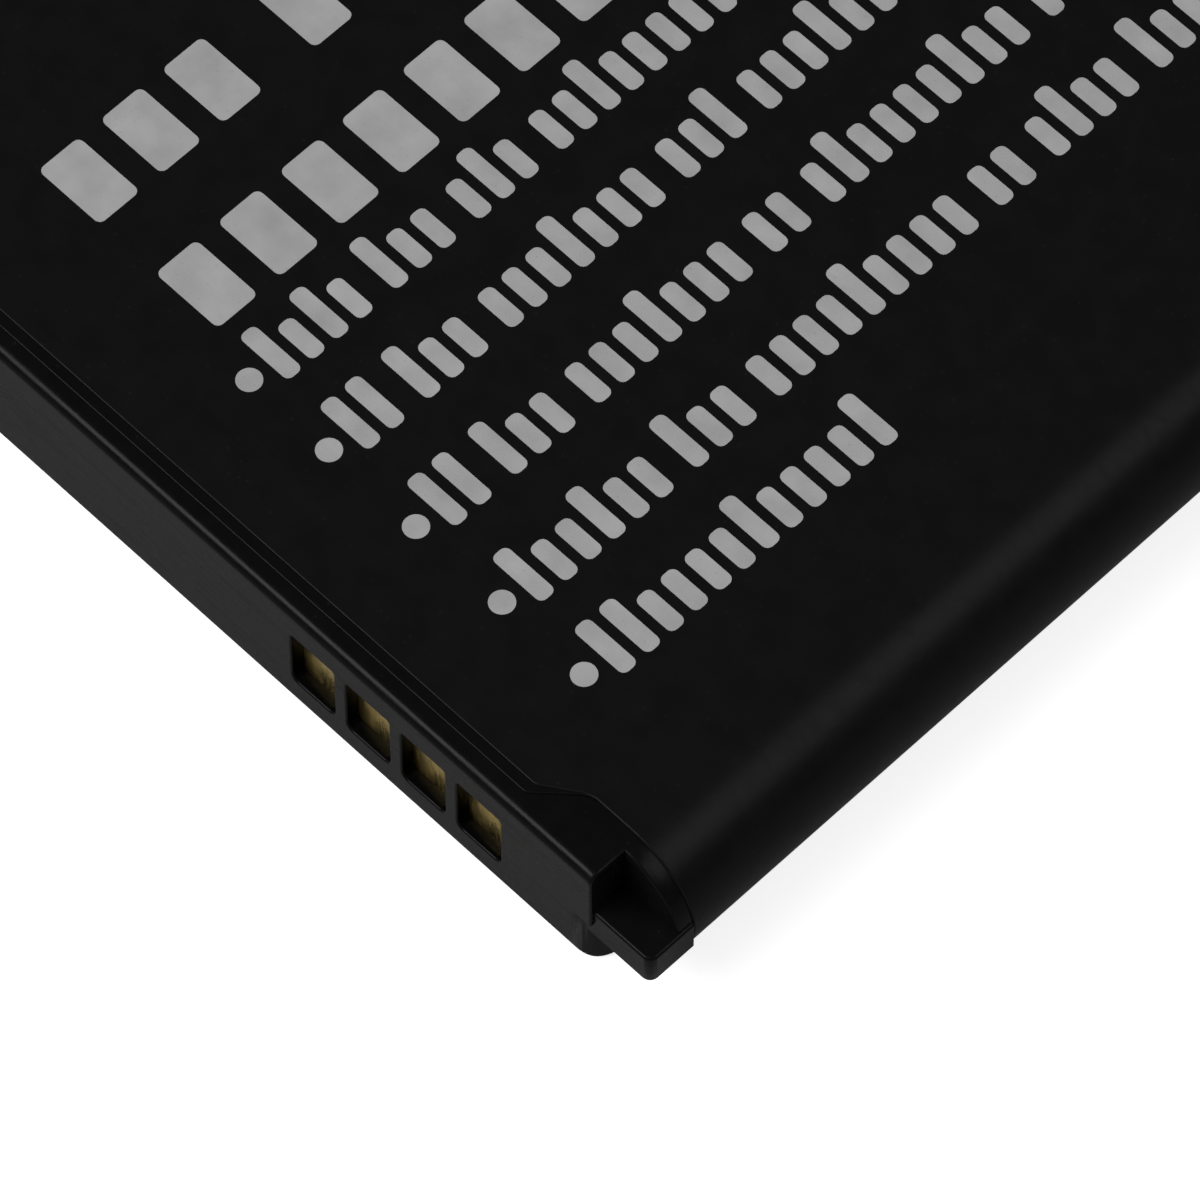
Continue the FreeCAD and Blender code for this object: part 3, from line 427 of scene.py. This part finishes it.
def make_finish(name):
    """A finish with grain in its surface, mottle in its colour and roughness, fine scuffs and specks."""
    look = DEFAULT_FINISH | FINISHES[name]
    colours = bpy.context.scene.battery_colours
    material, tree, shader = new_material(f"detailed_{name}")
    plain, rough, spread = tuple(getattr(colours, look["colour"])), look["roughness"], look["spread"]
    grain = use_group(tree, "Grain", Grain_per_metre=look["grain"], Mottle_per_metre=look["mottle"])
    streaks = use_group(tree, "Streaks", Lines_per_metre=look["streaks"])["Streaks"]
    specks = use_group(tree, "Specks", Specks_per_metre=look["specks"])["Specks"]
    level = vary(tree, grain["Mottle"], *MOTTLE_LIGHT)
    level = compute(tree, "MULTIPLY", level, vary(tree, specks, 1.0, look["speck_light"]))
    base = scale_colour(tree, plain, level)
    rough = vary(tree, grain["Mottle"], rough - spread, rough + spread)
    rough = compute(tree, "MULTIPLY_ADD", streaks, look["scuff"], rough)
    # The walls of the contact windows of the moulding get painted shade: their colour is darkened, and they
    # are also made smoother.
    if name == "black_moulding":
        recess = window_shade_and_gloss_mask(tree)
        base = scale_colour(tree, base, vary(tree, recess, 1.0, WINDOW_PAINTED_SHADE))
        rough = compute(tree, "MULTIPLY_ADD", recess, WINDOW_ROUGHER, rough)
    if name == "gold_contact":
        rubbed = compute(tree, "MULTIPLY", touch_marks(tree), vary(tree, streaks, 1.0, STRIPE_LEFT))
        base = scale_colour(tree, base, vary(tree, rubbed, REST_LIGHT, STRIPE_LIGHT))
        rough = compute(tree, "MULTIPLY_ADD", rubbed, STRIPE_ROUGHER, rough)
    height = compute(tree, "MULTIPLY_ADD", streaks, STREAK_DEPTH, grain["Height"])
    if look["threads"]:
        threads = use_group(tree, "Weave", Threads_per_metre=look["threads"])["Height"]
        height = compute(tree, "ADD", height, threads)
    bump = add_node(tree, "ShaderNodeBump", [("Height", height), ("Distance", look["depth"] * MM)])
    tree.links.new(base, shader.inputs["Base Color"])
    tree.links.new(rough, shader.inputs["Roughness"])
    tree.links.new(bump.outputs["Normal"], shader.inputs["Normal"])
    shader.inputs["Metallic"].default_value = look["metallic"]
    shader.inputs["Specular IOR Level"].default_value = look["specular"]
    return material


def finish_of(name):
    """The named finish, made when the first piece asks for it."""
    return bpy.data.materials.get(f"detailed_{name}") or make_finish(name)


# Modelling helpers


def enter(mode):
    bpy.ops.object.mode_set(mode=mode)


def deselect():
    if bpy.context.object and bpy.context.object.mode != "OBJECT":
        enter("OBJECT")
    bpy.ops.object.select_all(action="DESELECT")


def activate(piece):
    """Makes a piece the only selected one, and the one that operators work on."""
    deselect()
    piece.select_set(True)
    bpy.context.view_layer.objects.active = piece


def add_cube(low, high, name):
    """A cube between two corners, as a new object at the origin."""
    deselect()
    bpy.ops.mesh.primitive_cube_add(size=1.0, location=(low + high) / 2, scale=high - low)
    piece = bpy.context.object
    piece.name = name
    bpy.ops.object.transform_apply(location=True, rotation=True, scale=True)
    return piece


def pick(piece, kind, test):
    """Selects the vertices, edges or faces that the test picks, and leaves the piece in edit mode."""
    enter("EDIT")
    bpy.ops.mesh.select_mode(type=kind)
    bpy.ops.mesh.select_all(action="DESELECT")
    enter("OBJECT")
    mesh = piece.data
    for part in {"VERT": mesh.vertices, "EDGE": mesh.edges, "FACE": mesh.polygons}[kind]:
        part.select = test(part)
    enter("EDIT")


def bevel_picked(radius, steps):
    """Rounds the picked edges and leaves edit mode."""
    bpy.ops.mesh.bevel(offset=radius, segments=steps, profile=0.5, affect="EDGES")
    enter("OBJECT")


def runs_along(piece, axis):
    """A test for edges that run along one axis."""
    spots = piece.data.vertices

    def test(edge):
        start, end = (spots[place].co for place in edge.vertices)
        run = end - start
        return abs(run[axis]) > STRAIGHT * run.length

    return test


def apply_modifier(piece, kind, **values):
    activate(piece)
    modifier = piece.modifiers.new(kind.lower(), kind)
    for name, value in values.items():
        setattr(modifier, name, value)
    bpy.ops.object.modifier_apply(modifier=modifier.name)


def smooth(piece):
    """Smooth shading that keeps the flat faces flat."""
    activate(piece)
    bpy.ops.object.shade_smooth_by_angle(angle=SMOOTH)
    apply_modifier(piece, "WEIGHTED_NORMAL", mode="FACE_AREA", weight=80, keep_sharp=True)


def finish_piece(piece, finish, replaced=()):
    """Gives a piece its finish in its material slot and its body, and hides the CAD nodes it stands for."""
    piece.data.materials.clear()
    piece.data.materials.append(finish_of(finish))
    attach(piece, BODY)
    if replaced:
        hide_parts(*replaced)


def boolean(piece, tool, operation):
    """Cuts a tool from the piece or joins it on, and removes the tool."""
    apply_modifier(piece, "BOOLEAN", object=tool, operation=operation, solver="EXACT")
    bpy.data.objects.remove(tool)
    enter("EDIT")
    bpy.ops.mesh.select_all(action="SELECT")
    bpy.ops.mesh.remove_doubles(threshold=NEAR / 2)
    bpy.ops.mesh.dissolve_limited(angle_limit=FLAT)
    enter("OBJECT")


def place_test(piece, test):
    """A test for edges both of whose ends pass."""
    return lambda edge: all(test(piece.data.vertices[place].co) for place in edge.vertices)


def ahead_of(line):
    """A weight of 1 for edges that are not further from the contact end than a line."""
    return lambda start, end: float(max(start.y, end.y) < line + NEAR)


def bevel_sharp(piece, width, weight, segments):
    """Rounds the piece's sharp edges to the width times the weight that each edge's two ends give."""
    activate(piece)
    enter("EDIT")
    bpy.ops.mesh.select_mode(type="EDGE")
    bpy.ops.mesh.select_all(action="DESELECT")
    bpy.ops.mesh.edges_select_sharp(sharpness=SHARP)
    enter("OBJECT")
    mesh = piece.data
    weights = mesh.attributes.new("bevel_weight_edge", "FLOAT", "EDGE")
    for edge in mesh.edges:
        if edge.select:
            weights.data[edge.index].value = weight(*(mesh.vertices[place].co for place in edge.vertices))
    apply_modifier(
        piece, "BEVEL", width=width, segments=segments, limit_method="WEIGHT", use_clamp_overlap=False
    )
    mesh.attributes.remove(mesh.attributes["bevel_weight_edge"])


def stadium(name, near, far, inset):
    """A bar with the pack's own cross-section, flat with half-round sides, set in all round."""
    shrink = Vector((inset, 0, inset))
    low = Vector((PACK_LOW.x, near, PACK_LOW.z)) + shrink
    high = Vector((PACK_HIGH.x, far, PACK_HIGH.z)) - shrink
    piece = add_cube(low, high, name)
    pick(piece, "EDGE", runs_along(piece, 1))
    steps = bpy.context.scene.battery_sizes.round_steps
    bpy.ops.mesh.bevel(offset=PACK_SIZE.z / 2 - inset, segments=steps, profile=0.5, affect="EDGES")
    bpy.ops.mesh.select_all(action="SELECT")
    bpy.ops.mesh.remove_doubles(threshold=NEAR)
    enter("OBJECT")
    return piece


def stepped_cutter(side, setback, corner_gap):
    """A block whose one end follows the film's stepped front edge, ahead of that line or behind it."""
    sizes = bpy.context.scene.battery_sizes
    beyond = 6 * MM
    line = FRONT + setback
    low = Vector((PACK_LOW.x - beyond, line, PACK_LOW.z - beyond))
    high = Vector((PACK_HIGH.x + beyond, line, PACK_HIGH.z + beyond))
    if side == "ahead":
        low.y = FRONT - beyond
    else:
        high.y = CAP_HIGH.y + beyond
    cutter = add_cube(low, high, "stepped_cutter")
    outer, inner = PACK_HIGH.x - sizes.film_step_outer, PACK_HIGH.x - sizes.film_step_inner
    enter("EDIT")
    for place in (-outer, -inner, inner, outer):
        bpy.ops.mesh.select_all(action="SELECT")
        bpy.ops.mesh.bisect(plane_co=(place, 0, 0), plane_no=(1, 0, 0))
    enter("OBJECT")
    pick(cutter, "VERT", lambda spot: abs(spot.co.x) > outer - NEAR and abs(spot.co.y - line) < NEAR)
    step = sizes.film_corner_setback - corner_gap - setback
    bpy.ops.transform.translate(value=(0, step, 0))
    enter("OBJECT")
    turn = math.atan2(step, outer - inner)
    upright = runs_along(cutter, 2)
    for place, radius in ((outer, sizes.step_round_outer), (inner, sizes.step_round_inner)):
        on_line = place_test(
            cutter,
            lambda spot: abs(abs(spot.x) - place) < NEAR and line - NEAR < spot.y < line + step + NEAR,
        )
        pick(cutter, "EDGE", lambda edge: upright(edge) and on_line(edge))
        bevel_picked(radius * math.tan(turn / 2), WIDE_STEPS)
        upright = runs_along(cutter, 2)
    return cutter


def merged_copy(node, name):
    """A copy of a CAD node with its loose triangles joined, for a smooth finish."""
    piece = bpy.data.objects.new(name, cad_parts[node].data.copy())
    bpy.context.scene.collection.objects.link(piece)
    activate(piece)
    enter("EDIT")
    bpy.ops.mesh.select_all(action="SELECT")
    bpy.ops.mesh.remove_doubles(threshold=NEAR / 2)
    bpy.ops.mesh.customdata_custom_splitnormals_clear()
    bpy.ops.mesh.tris_convert_to_quads(face_threshold=FLAT, shape_threshold=math.pi)
    enter("OBJECT")
    return piece


# Pieces


class BATTERY_OT_cap(Operator):
    """The moulding at the contact end, with windows, a seat for the film, and a lug at each corner"""

    bl_idname = "battery.cap"
    bl_label = "Contact Cap"

    def execute(self, context):
        sizes = context.scene.battery_sizes
        piece = stadium("moulded_cap", FRONT, CAP_HIGH.y, sizes.land_drop)
        bevel_sharp(piece, sizes.cap_edge, ahead_of(FRONT), WIDE_STEPS)
        behind = stepped_cutter("behind", FILM_SETBACK - sizes.seat_gap, sizes.seat_corner_gap)
        boolean(piece, behind, "DIFFERENCE")
        core = stadium("cap_core", FRONT + sizes.front_wall / 2, CAP_HIGH.y, sizes.film)
        boolean(piece, core, "UNION")
        boolean(piece, self.ledge(sizes), "UNION")
        self.cut_notches(piece, sizes)
        self.cut_bay(piece, sizes)
        self.cut_windows(piece, sizes)
        self.round_off(piece, sizes)
        self.add_lugs(piece, sizes)
        smooth(piece)
        finish_piece(piece, "black_moulding", ["contact_cap"])
        return {"FINISHED"}

    def ledge(self, sizes):
        """The low ledge that the film ends against. It narrows to nothing at the corners."""
        piece = stadium("ledge", FRONT + sizes.front_wall / 2, CAP_HIGH.y, sizes.ledge_drop)
        ahead = stepped_cutter("ahead", FILM_SETBACK - sizes.ledge_width, 0.0)
        boolean(piece, ahead, "DIFFERENCE")
        bevel_sharp(piece, sizes.ledge_round, ahead_of(FRONT + sizes.film_corner_setback), SMALL_STEPS)
        behind = stepped_cutter("behind", FILM_SETBACK - sizes.ledge_gap, sizes.ledge_gap)
        boolean(piece, behind, "DIFFERENCE")
        return piece

    def cut_notches(self, piece, sizes):
        """Cuts a notch above and a notch below each lug, which meet half-way up the lug."""
        beyond = 3 * MM
        notch_wall = PACK_HIGH.x - sizes.notch_width
        low_wall = PACK_HIGH.x - sizes.low_notch_width
        shelf = MIDDLE - sizes.lug_drop
        notch = (FRONT - beyond, FRONT + sizes.notch_depth)
        outwards = PACK_HIGH.x + beyond
        below = (PACK_LOW.z - beyond, shelf)
        for side in (-1, 1):
            for cutter in (
                self.corner_box(side, (notch_wall, outwards), notch, (shelf, PACK_HIGH.z + beyond)),
                self.corner_box(side, (low_wall, outwards), notch, below),
                self.round_cutter(side, low_wall, below, sizes.low_notch_round),
            ):
                boolean(piece, cutter, "DIFFERENCE")

    def add_lugs(self, piece, sizes):
        """Joins on the lug between the two notches of each corner."""
        lug_top = MIDDLE - sizes.lug_drop + sizes.lug_thickness / 2
        upwards = (lug_top - sizes.lug_thickness, lug_top)
        lug_front = FRONT + sizes.lug_setback
        along = (lug_front, FRONT + sizes.film_corner_setback - sizes.seat_corner_gap - sizes.ledge_gap)
        notch_wall = PACK_HIGH.x - sizes.notch_width
        lug_root = PACK_HIGH.x - sizes.low_notch_width - sizes.low_notch_round * LUG_ROOT_SHARE
        for side in (-1, 1):
            lug = self.corner_box(side, (lug_root, PACK_HIGH.x), along, upwards)
            upright = runs_along(lug, 2)
            at_corner = place_test(lug, lambda spot: abs(spot.x) > notch_wall and spot.y < lug_front + NEAR)
            pick(lug, "EDGE", lambda edge: upright(edge) and at_corner(edge))
            bevel_picked(sizes.lug_corner, WIDE_STEPS)
            self.round_lug(lug, sizes)
            boolean(piece, lug, "UNION")

    def round_lug(self, lug, sizes):
        """Rounds a lug's front and outer edges, above well and below finely."""
        spots = [spot.co for spot in lug.data.vertices]
        back, top = max(spot.y for spot in spots), max(spot.z for spot in spots)
        root = min(abs(spot.x) for spot in spots)

        def weight(start, end):
            at_back = min(start.y, end.y) > back - NEAR
            at_root = max(abs(start.x), abs(end.x)) < root + NEAR
            if at_back or at_root or abs(start.z - end.z) > NEAR:
                return 0.0
            return 1.0 if start.z > top - NEAR else sizes.fine_edge / sizes.lug_edge

        bevel_sharp(lug, sizes.lug_edge, weight, SMALL_STEPS)

    def corner_box(self, side, across, along, upwards):
        """A box at the +X side, or the same box at the -X side. Each size is its low and high end."""
        ends = [sorted((side * across[0], side * across[1])), along, upwards]
        return add_cube(Vector([end[0] for end in ends]), Vector([end[1] for end in ends]), "corner_box")

    def round_cutter(self, side, wall, upwards, radius):
        """What is cut from the front corner beside the low notch to round it."""
        beyond = 1 * MM
        centre_x, centre_y = wall - radius, FRONT + radius
        cutter = self.corner_box(side, (centre_x, wall + beyond), (FRONT - beyond, centre_y), upwards)
        deselect()
        bpy.ops.mesh.primitive_cylinder_add(
            vertices=CUTTER_SIDES,
            radius=radius,
            depth=3 * (upwards[1] - upwards[0]),
            location=(side * centre_x, centre_y, sum(upwards) / 2),
        )
        core = bpy.context.object
        bpy.ops.object.transform_apply(location=True, rotation=True, scale=True)
        boolean(cutter, core, "DIFFERENCE")
        return cutter

    def cut_bay(self, piece, sizes):
        """Opens the bay for the board, and the recess for the row of contacts in its front wall."""
        reach = PACK_HIGH.x - sizes.end_block
        low = Vector((-reach, FRONT + sizes.front_wall, PACK_LOW.z + sizes.wall))
        high = Vector((reach, CAP_HIGH.y + sizes.wall, PACK_HIGH.z - sizes.wall))
        boolean(piece, add_cube(low, high, "bay_cutter"), "DIFFERENCE")
        low, high = contact_row()
        play = Vector((sizes.contact_play, 0, sizes.contact_play))
        high.y += sizes.wall
        boolean(piece, add_cube(low - play, high + play, "recess_cutter"), "DIFFERENCE")

    def cut_windows(self, piece, sizes):
        for name in CONTACTS:
            low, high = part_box(name)
            centre = (low + high) / 2
            half = Vector((sizes.window_width / 2, sizes.front_wall, sizes.window_height / 2))
            cutter = add_cube(centre - half, centre + half, "window_cutter")
            for is_low, radius in ((True, sizes.window_low_round), (False, sizes.window_top_round)):
                along = runs_along(cutter, 1)
                at_end = place_test(cutter, lambda spot: (spot.z < centre.z) == is_low)
                pick(cutter, "EDGE", lambda edge: along(edge) and at_end(edge))
                bevel_picked(radius, WINDOW_STEPS)
            boolean(piece, cutter, "DIFFERENCE")

    def round_off(self, piece, sizes):
        """Rounds the edges of the windows and of the notches finely."""
        row_low, row_high = contact_row()
        notch_wall = PACK_HIGH.x - sizes.notch_width
        shelf = MIDDLE - sizes.lug_drop
        round_start = PACK_HIGH.x - sizes.low_notch_width - sizes.low_notch_round

        def weight(start, end):
            near, far = min(start.y, end.y), max(start.y, end.y)
            low, high = min(start.z, end.z), max(start.z, end.z)
            outmost = max(abs(start.x), abs(end.x))
            if far > FRONT + sizes.film_corner_setback:
                return 0.0
            inside = PACK_LOW.z + sizes.film * 2 < low and high < PACK_HIGH.z - sizes.film * 2
            if inside and row_low.x - sizes.contact_play < start.x < row_high.x + sizes.contact_play:
                return float(far < FRONT + NEAR)
            if inside and outmost < PACK_HIGH.x - sizes.end_block + NEAR:
                return 0.0
            if high < shelf + NEAR and outmost > round_start - NEAR:
                return 0.0
            behind_notch = near > FRONT + sizes.notch_depth + NEAR
            on_seat = outmost < notch_wall + NEAR and near > FRONT + sizes.cap_edge
            return 0.0 if behind_notch or on_seat else 1.0

        bevel_sharp(piece, sizes.fine_edge, weight, FINE_STEPS)


class BATTERY_OT_foot(Operator):
    """The plain moulding at the far end"""

    bl_idname = "battery.foot"
    bl_label = "End Foot"

    def execute(self, context):
        piece = merged_copy("end_foot", "moulded_foot")
        smooth(piece)
        finish_piece(piece, "black_moulding", ["end_foot"])
        return {"FINISHED"}


class BATTERY_OT_sleeve(Operator):
    """The printed film round the pack, with its stepped front edge and its seam underneath"""

    bl_idname = "battery.sleeve"
    bl_label = "Printed Sleeve"

    def execute(self, context):
        sizes = context.scene.battery_sizes
        piece = stadium("printed_sleeve", FILM_LOW.y, FILM_HIGH.y, sizes.print_rise)
        pick(piece, "FACE", lambda face: abs(face.normal.y) > FACING)
        bpy.ops.mesh.delete(type="ONLY_FACE")
        enter("OBJECT")
        apply_modifier(piece, "SOLIDIFY", thickness=sizes.film - sizes.print_rise, offset=-1.0)
        boolean(piece, stepped_cutter("ahead", FILM_SETBACK, 0.0), "DIFFERENCE")
        seam_place = PACK_LOW.x + sizes.seam_inset
        low = Vector((seam_place - sizes.seam / 2, FRONT - sizes.seam, PACK_LOW.z - sizes.film))
        high = Vector((seam_place + sizes.seam / 2, PACK_HIGH.y + sizes.seam, PACK_LOW.z + 2 * sizes.film))
        boolean(piece, add_cube(low, high, "seam_cutter"), "DIFFERENCE")

        def weight(start, end):
            """Rounds the film's front edge, on its outer side."""
            centre = (start + end) / 2
            reach = PACK_SIZE.x / 2 - PACK_SIZE.z / 2
            from_axis = Vector((max(0.0, abs(centre.x) - reach), centre.z - MIDDLE)).length
            outside = from_axis > PACK_SIZE.z / 2 - sizes.film / 2
            at_front = max(start.y, end.y) < FRONT + sizes.film_corner_setback + NEAR
            return 1.0 if outside and at_front and abs(end.y - start.y) < sizes.film_step_inner / 2 else 0.0

        bevel_sharp(piece, sizes.film_edge, weight, FINE_STEPS)
        smooth(piece)
        finish_piece(piece, "printed_film", ["label_wrap"])
        return {"FINISHED"}


class BATTERY_OT_print(Operator):
    """The print on the film, as dots and rows of plain rounded blocks"""

    bl_idname = "battery.print"
    bl_label = "Print Marks"

    def execute(self, context):
        sizes = context.scene.battery_sizes
        top = FILM_HIGH.z
        start = PACK_LOW.y + sizes.dot_place + sizes.block_start
        blocks = []
        for place, groups in DOTTED_ROWS:
            foot = place * MM + sizes.row_drop
            along = start
            for group_place, count in enumerate(groups):
                for here in range(count):
                    first = here == 0 and group_place == 0
                    tall = first or (3 * here + 2 * group_place + count) % TALL_EVERY == 0
                    height = sizes.tall_block if tall else sizes.low_block
                    blocks.append((foot - height, foot, along, along + sizes.block_width))
                    along += sizes.block_pitch
                along += sizes.block_pitch / 2
        for place, first, groups in WIDE_ROWS:
            along = first * MM
            foot = place * MM
            for count in groups:
                for _ in range(count):
                    blocks.append((foot - sizes.wide_height, foot, along, along + sizes.wide_width))
                    along += sizes.wide_pitch
                along += sizes.wide_pitch / 2
        marks = self.add_blocks(blocks, top, sizes)
        dots = self.add_dots(top, sizes)
        finish_piece(marks, "pale_ink")
        finish_piece(dots, "pale_ink")
        return {"FINISHED"}

    def add_blocks(self, blocks, top, sizes):
        left, right, near, far = blocks[0]
        low = top - 2 * sizes.print_rise
        piece = add_cube(Vector((left, near, low)), Vector((right, far, top)), "print_blocks")
        enter("EDIT")
        for left, right, near, far in blocks[1:]:
            bpy.ops.mesh.primitive_cube_add(
                size=1.0,
                location=((left + right) / 2, (near + far) / 2, (low + top) / 2),
                scale=(right - left, far - near, top - low),
            )
        enter("OBJECT")
        pick(piece, "EDGE", runs_along(piece, 2))
        bevel_picked(sizes.block_round, SMALL_STEPS)
        return piece

    def add_dots(self, top, sizes):
        deselect()
        low = top - 2 * sizes.print_rise
        across = PACK_LOW.y + sizes.dot_place
        for here, (place, _) in enumerate(DOTTED_ROWS):
            bpy.ops.mesh.primitive_cylinder_add(
                vertices=DOT_SIDES,
                radius=sizes.dot / 2,
                depth=top - low,
                location=(place * MM, across, (low + top) / 2),
            )
            if here == 0:
                piece = bpy.context.object
                piece.name = "print_dots"
                bpy.ops.object.transform_apply(location=True, rotation=True, scale=True)
                enter("EDIT")
        enter("OBJECT")
        return piece


class BATTERY_OT_contacts(Operator):
    """The gold contacts behind the windows, each slightly crowned"""

    bl_idname = "battery.contacts"
    bl_label = "Contacts"

    def execute(self, context):
        crown = context.scene.battery_sizes.contact_crown
        for node in CONTACTS:
            low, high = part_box(node)
            piece = add_cube(low, high, node.replace("pad", "face"))
            pick(piece, "FACE", lambda face: face.normal.y < -FACING)
            for _ in range(CROWN_STEPS):
                bpy.ops.mesh.inset(thickness=CROWN_STEP)
                bpy.ops.transform.translate(value=(0, -crown / CROWN_STEPS, 0))
            enter("OBJECT")
            smooth(piece)
            finish_piece(piece, "gold_contact", [node])
        return {"FINISHED"}


INSIDE_FINISHES = {
    "can_aluminium": ("cell_can", "terminal_rivet", "fill_plug"),
    "gasket_plastic": ("terminal_gasket",),
    "nickel": (
        "terminal_washer", "positive_weld_plate", "board_plate", "positive_strip", "fuse_strip",
        "negative_strip",
    ),
    "insulator_paper": ("lid_insulator",),
    "adhesive_tape": ("cap_tape", "foot_tape"),
    "board_laminate": ("protection_board",),
    "fuse_case": ("thermal_fuse",),
    "chip_epoxy": ("switch_transistor", "protection_ic", "resistor"),
    "ceramic": ("capacitor", "thermistor"),
}


class BATTERY_OT_inside(Operator):
    """The finishes of everything that the mouldings and the film enclose"""

    bl_idname = "battery.inside"
    bl_label = "Inner Parts"

    def execute(self, context):
        for finish, starts in INSIDE_FINISHES.items():
            for name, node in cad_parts.items():
                if name.startswith(starts):
                    node.data.materials.clear()
                    node.data.materials.append(finish_of(finish))
        return {"FINISHED"}


# Soft lamps: azimuth and elevation in degrees, width and height in millimetres, and brightness (1 is white)
LAMPS = (
    ("side_softbox", 122, 49, 340, 340, 2.8),
    ("front_softbox", -29, 44, 420, 260, 10.0),
    ("top_softbox", 25, 70, 260, 260, 1.0),
)
LAMP_DISTANCE = 0.6
FLOOR_SIZE = 0.6
FLOOR_ROUGHNESS, FLOOR_SPECULAR = 0.9, 0.1
# What the floor adds to itself as the camera sees it, and as mirrors do
FLOOR_GLOW, MIRRORED_GLOW = 0.78, 0.02
# The room's brightness changes between two heights of the way looked along
HORIZON = (0.1, 0.6)
ROOM_LIGHT = (0.12, 0.1)
CLIP = (0.01, 10.0)


def add_softbox(name, place, target, width, height, radiance):
    """Adds a flat soft lamp at a place, turned to its target."""
    data = bpy.data.lights.new(name, "AREA")
    data.shape = "RECTANGLE"
    data.size = width
    data.size_y = height
    data.energy = radiance * math.pi * width * height
    lamp = bpy.data.objects.new(name, data)
    bpy.context.scene.collection.objects.link(lamp)
    lamp.location = place
    lamp.rotation_mode = "QUATERNION"
    lamp.rotation_quaternion = (target - place).to_track_quat("-Z", "Y")


def direction(azimuth, elevation):
    """The way from the pack to a place at that azimuth and elevation, as the view counts them."""
    a, e = math.radians(azimuth), math.radians(elevation)
    return Vector((math.sin(a) * math.cos(e), -math.cos(a) * math.cos(e), math.sin(e)))


def white_floor(base):
    """A matt floor with the pack's shadow on it, which the camera sees as white."""
    material, tree, shader = new_material("pale_floor")
    shader.inputs["Base Color"].default_value = (*base, 1.0)
    shader.inputs["Roughness"].default_value = FLOOR_ROUGHNESS
    shader.inputs["Specular IOR Level"].default_value = FLOOR_SPECULAR
    path = add_node(tree, "ShaderNodeLightPath").outputs
    mirrored = compute(tree, "MAXIMUM", path["Is Glossy Ray"], path["Is Transmission Ray"])
    mirrored = compute(tree, "MULTIPLY", mirrored, MIRRORED_GLOW)
    glow = compute(tree, "MULTIPLY_ADD", path["Is Camera Ray"], FLOOR_GLOW, mirrored)
    shader.inputs["Emission Color"].default_value = (1, 1, 1, 1)
    tree.links.new(glow, shader.inputs["Emission Strength"])
    return material


def studio_world():
    """A dim room, a little lighter at the horizon than above. The camera sees plain white."""
    world = bpy.data.worlds.new("studio")
    world.use_nodes = True
    tree = world.node_tree
    tree.nodes.clear()
    place = add_node(tree, "ShaderNodeTexCoord")
    parts = add_node(tree, "ShaderNodeSeparateXYZ", [("Vector", place.outputs["Generated"])])
    names = ("From Min", "From Max", "To Min", "To Max")
    links = [("Value", parts.outputs["Z"]), *zip(names, HORIZON + ROOM_LIGHT)]
    level = add_node(tree, "ShaderNodeMapRange", links, interpolation_type="SMOOTHSTEP")
    path = add_node(tree, "ShaderNodeLightPath")
    strength = compute(tree, "MAXIMUM", level.outputs["Result"], path.outputs["Is Camera Ray"])
    sky = add_node(tree, "ShaderNodeBackground", [("Color", (1, 1, 1, 1)), ("Strength", strength)])
    out = add_node(tree, "ShaderNodeOutputWorld")
    tree.links.new(sky.outputs["Background"], out.inputs["Surface"])
    return world


class BATTERY_OT_stage(Operator):
    """The pale floor, the soft lights and the camera"""

    bl_idname = "battery.stage"
    bl_label = "Stage"

    def execute(self, context):
        scene = context.scene
        colours, view = scene.battery_colours, scene.battery_view
        deselect()
        bpy.ops.mesh.primitive_plane_add(size=FLOOR_SIZE, location=(0, 0, 0))
        floor = context.object
        floor.name = "floor"
        floor.data.materials.append(white_floor(colours.floor))
        scene.world = studio_world()
        target = Vector(view.target)
        for name, azimuth, elevation, width, height, radiance in LAMPS:
            place = target + direction(azimuth, elevation) * LAMP_DISTANCE
            add_softbox(name, place, target, width * MM, height * MM, radiance)

        lens = bpy.data.cameras.new("camera")
        lens.lens = view.lens
        lens.sensor_width = view.sensor
        lens.clip_start, lens.clip_end = CLIP
        camera = bpy.data.objects.new("camera", lens)
        scene.collection.objects.link(camera)
        back = direction(math.degrees(view.azimuth), math.degrees(view.elevation))
        camera.location = target + back * view.distance
        camera.rotation_mode = "QUATERNION"
        aim = (-back).to_track_quat("-Z", "Y")
        camera.rotation_quaternion = aim @ Quaternion((0, 0, 1), view.roll)
        scene.camera = camera
        scene.view_settings.view_transform = "Standard"
        return {"FINISHED"}


OPERATORS = (
    BATTERY_OT_cap,
    BATTERY_OT_foot,
    BATTERY_OT_sleeve,
    BATTERY_OT_print,
    BATTERY_OT_contacts,
    BATTERY_OT_inside,
    BATTERY_OT_stage,
)


class BATTERY_PT_panel(Panel):
    """Lists the pieces of the battery pack"""

    bl_label = "Battery Pack"
    bl_space_type = "VIEW_3D"
    bl_region_type = "UI"
    bl_category = "Battery"

    def draw(self, context):
        for group in (context.scene.battery_sizes, context.scene.battery_colours, context.scene.battery_view):
            box = self.layout.box()
            for name in group.__annotations__:
                box.prop(group, name)
        for operator in OPERATORS:
            self.layout.operator(operator.bl_idname)


CLASSES = (BatterySizes, BatteryColours, BatteryView, *OPERATORS, BATTERY_PT_panel)


def register():
    for each in CLASSES:
        bpy.utils.register_class(each)
    bpy.types.Scene.battery_sizes = PointerProperty(type=BatterySizes)
    bpy.types.Scene.battery_colours = PointerProperty(type=BatteryColours)
    bpy.types.Scene.battery_view = PointerProperty(type=BatteryView)


def unregister():
    del bpy.types.Scene.battery_view
    del bpy.types.Scene.battery_colours
    del bpy.types.Scene.battery_sizes
    for each in reversed(CLASSES):
        bpy.utils.unregister_class(each)


def main():
    register()
    bpy.ops.battery.cap()
    bpy.ops.battery.foot()
    bpy.ops.battery.sleeve()
    bpy.ops.battery.print()
    bpy.ops.battery.contacts()
    bpy.ops.battery.inside()
    bpy.ops.battery.stage()


if __name__ == "__main__":
    main()
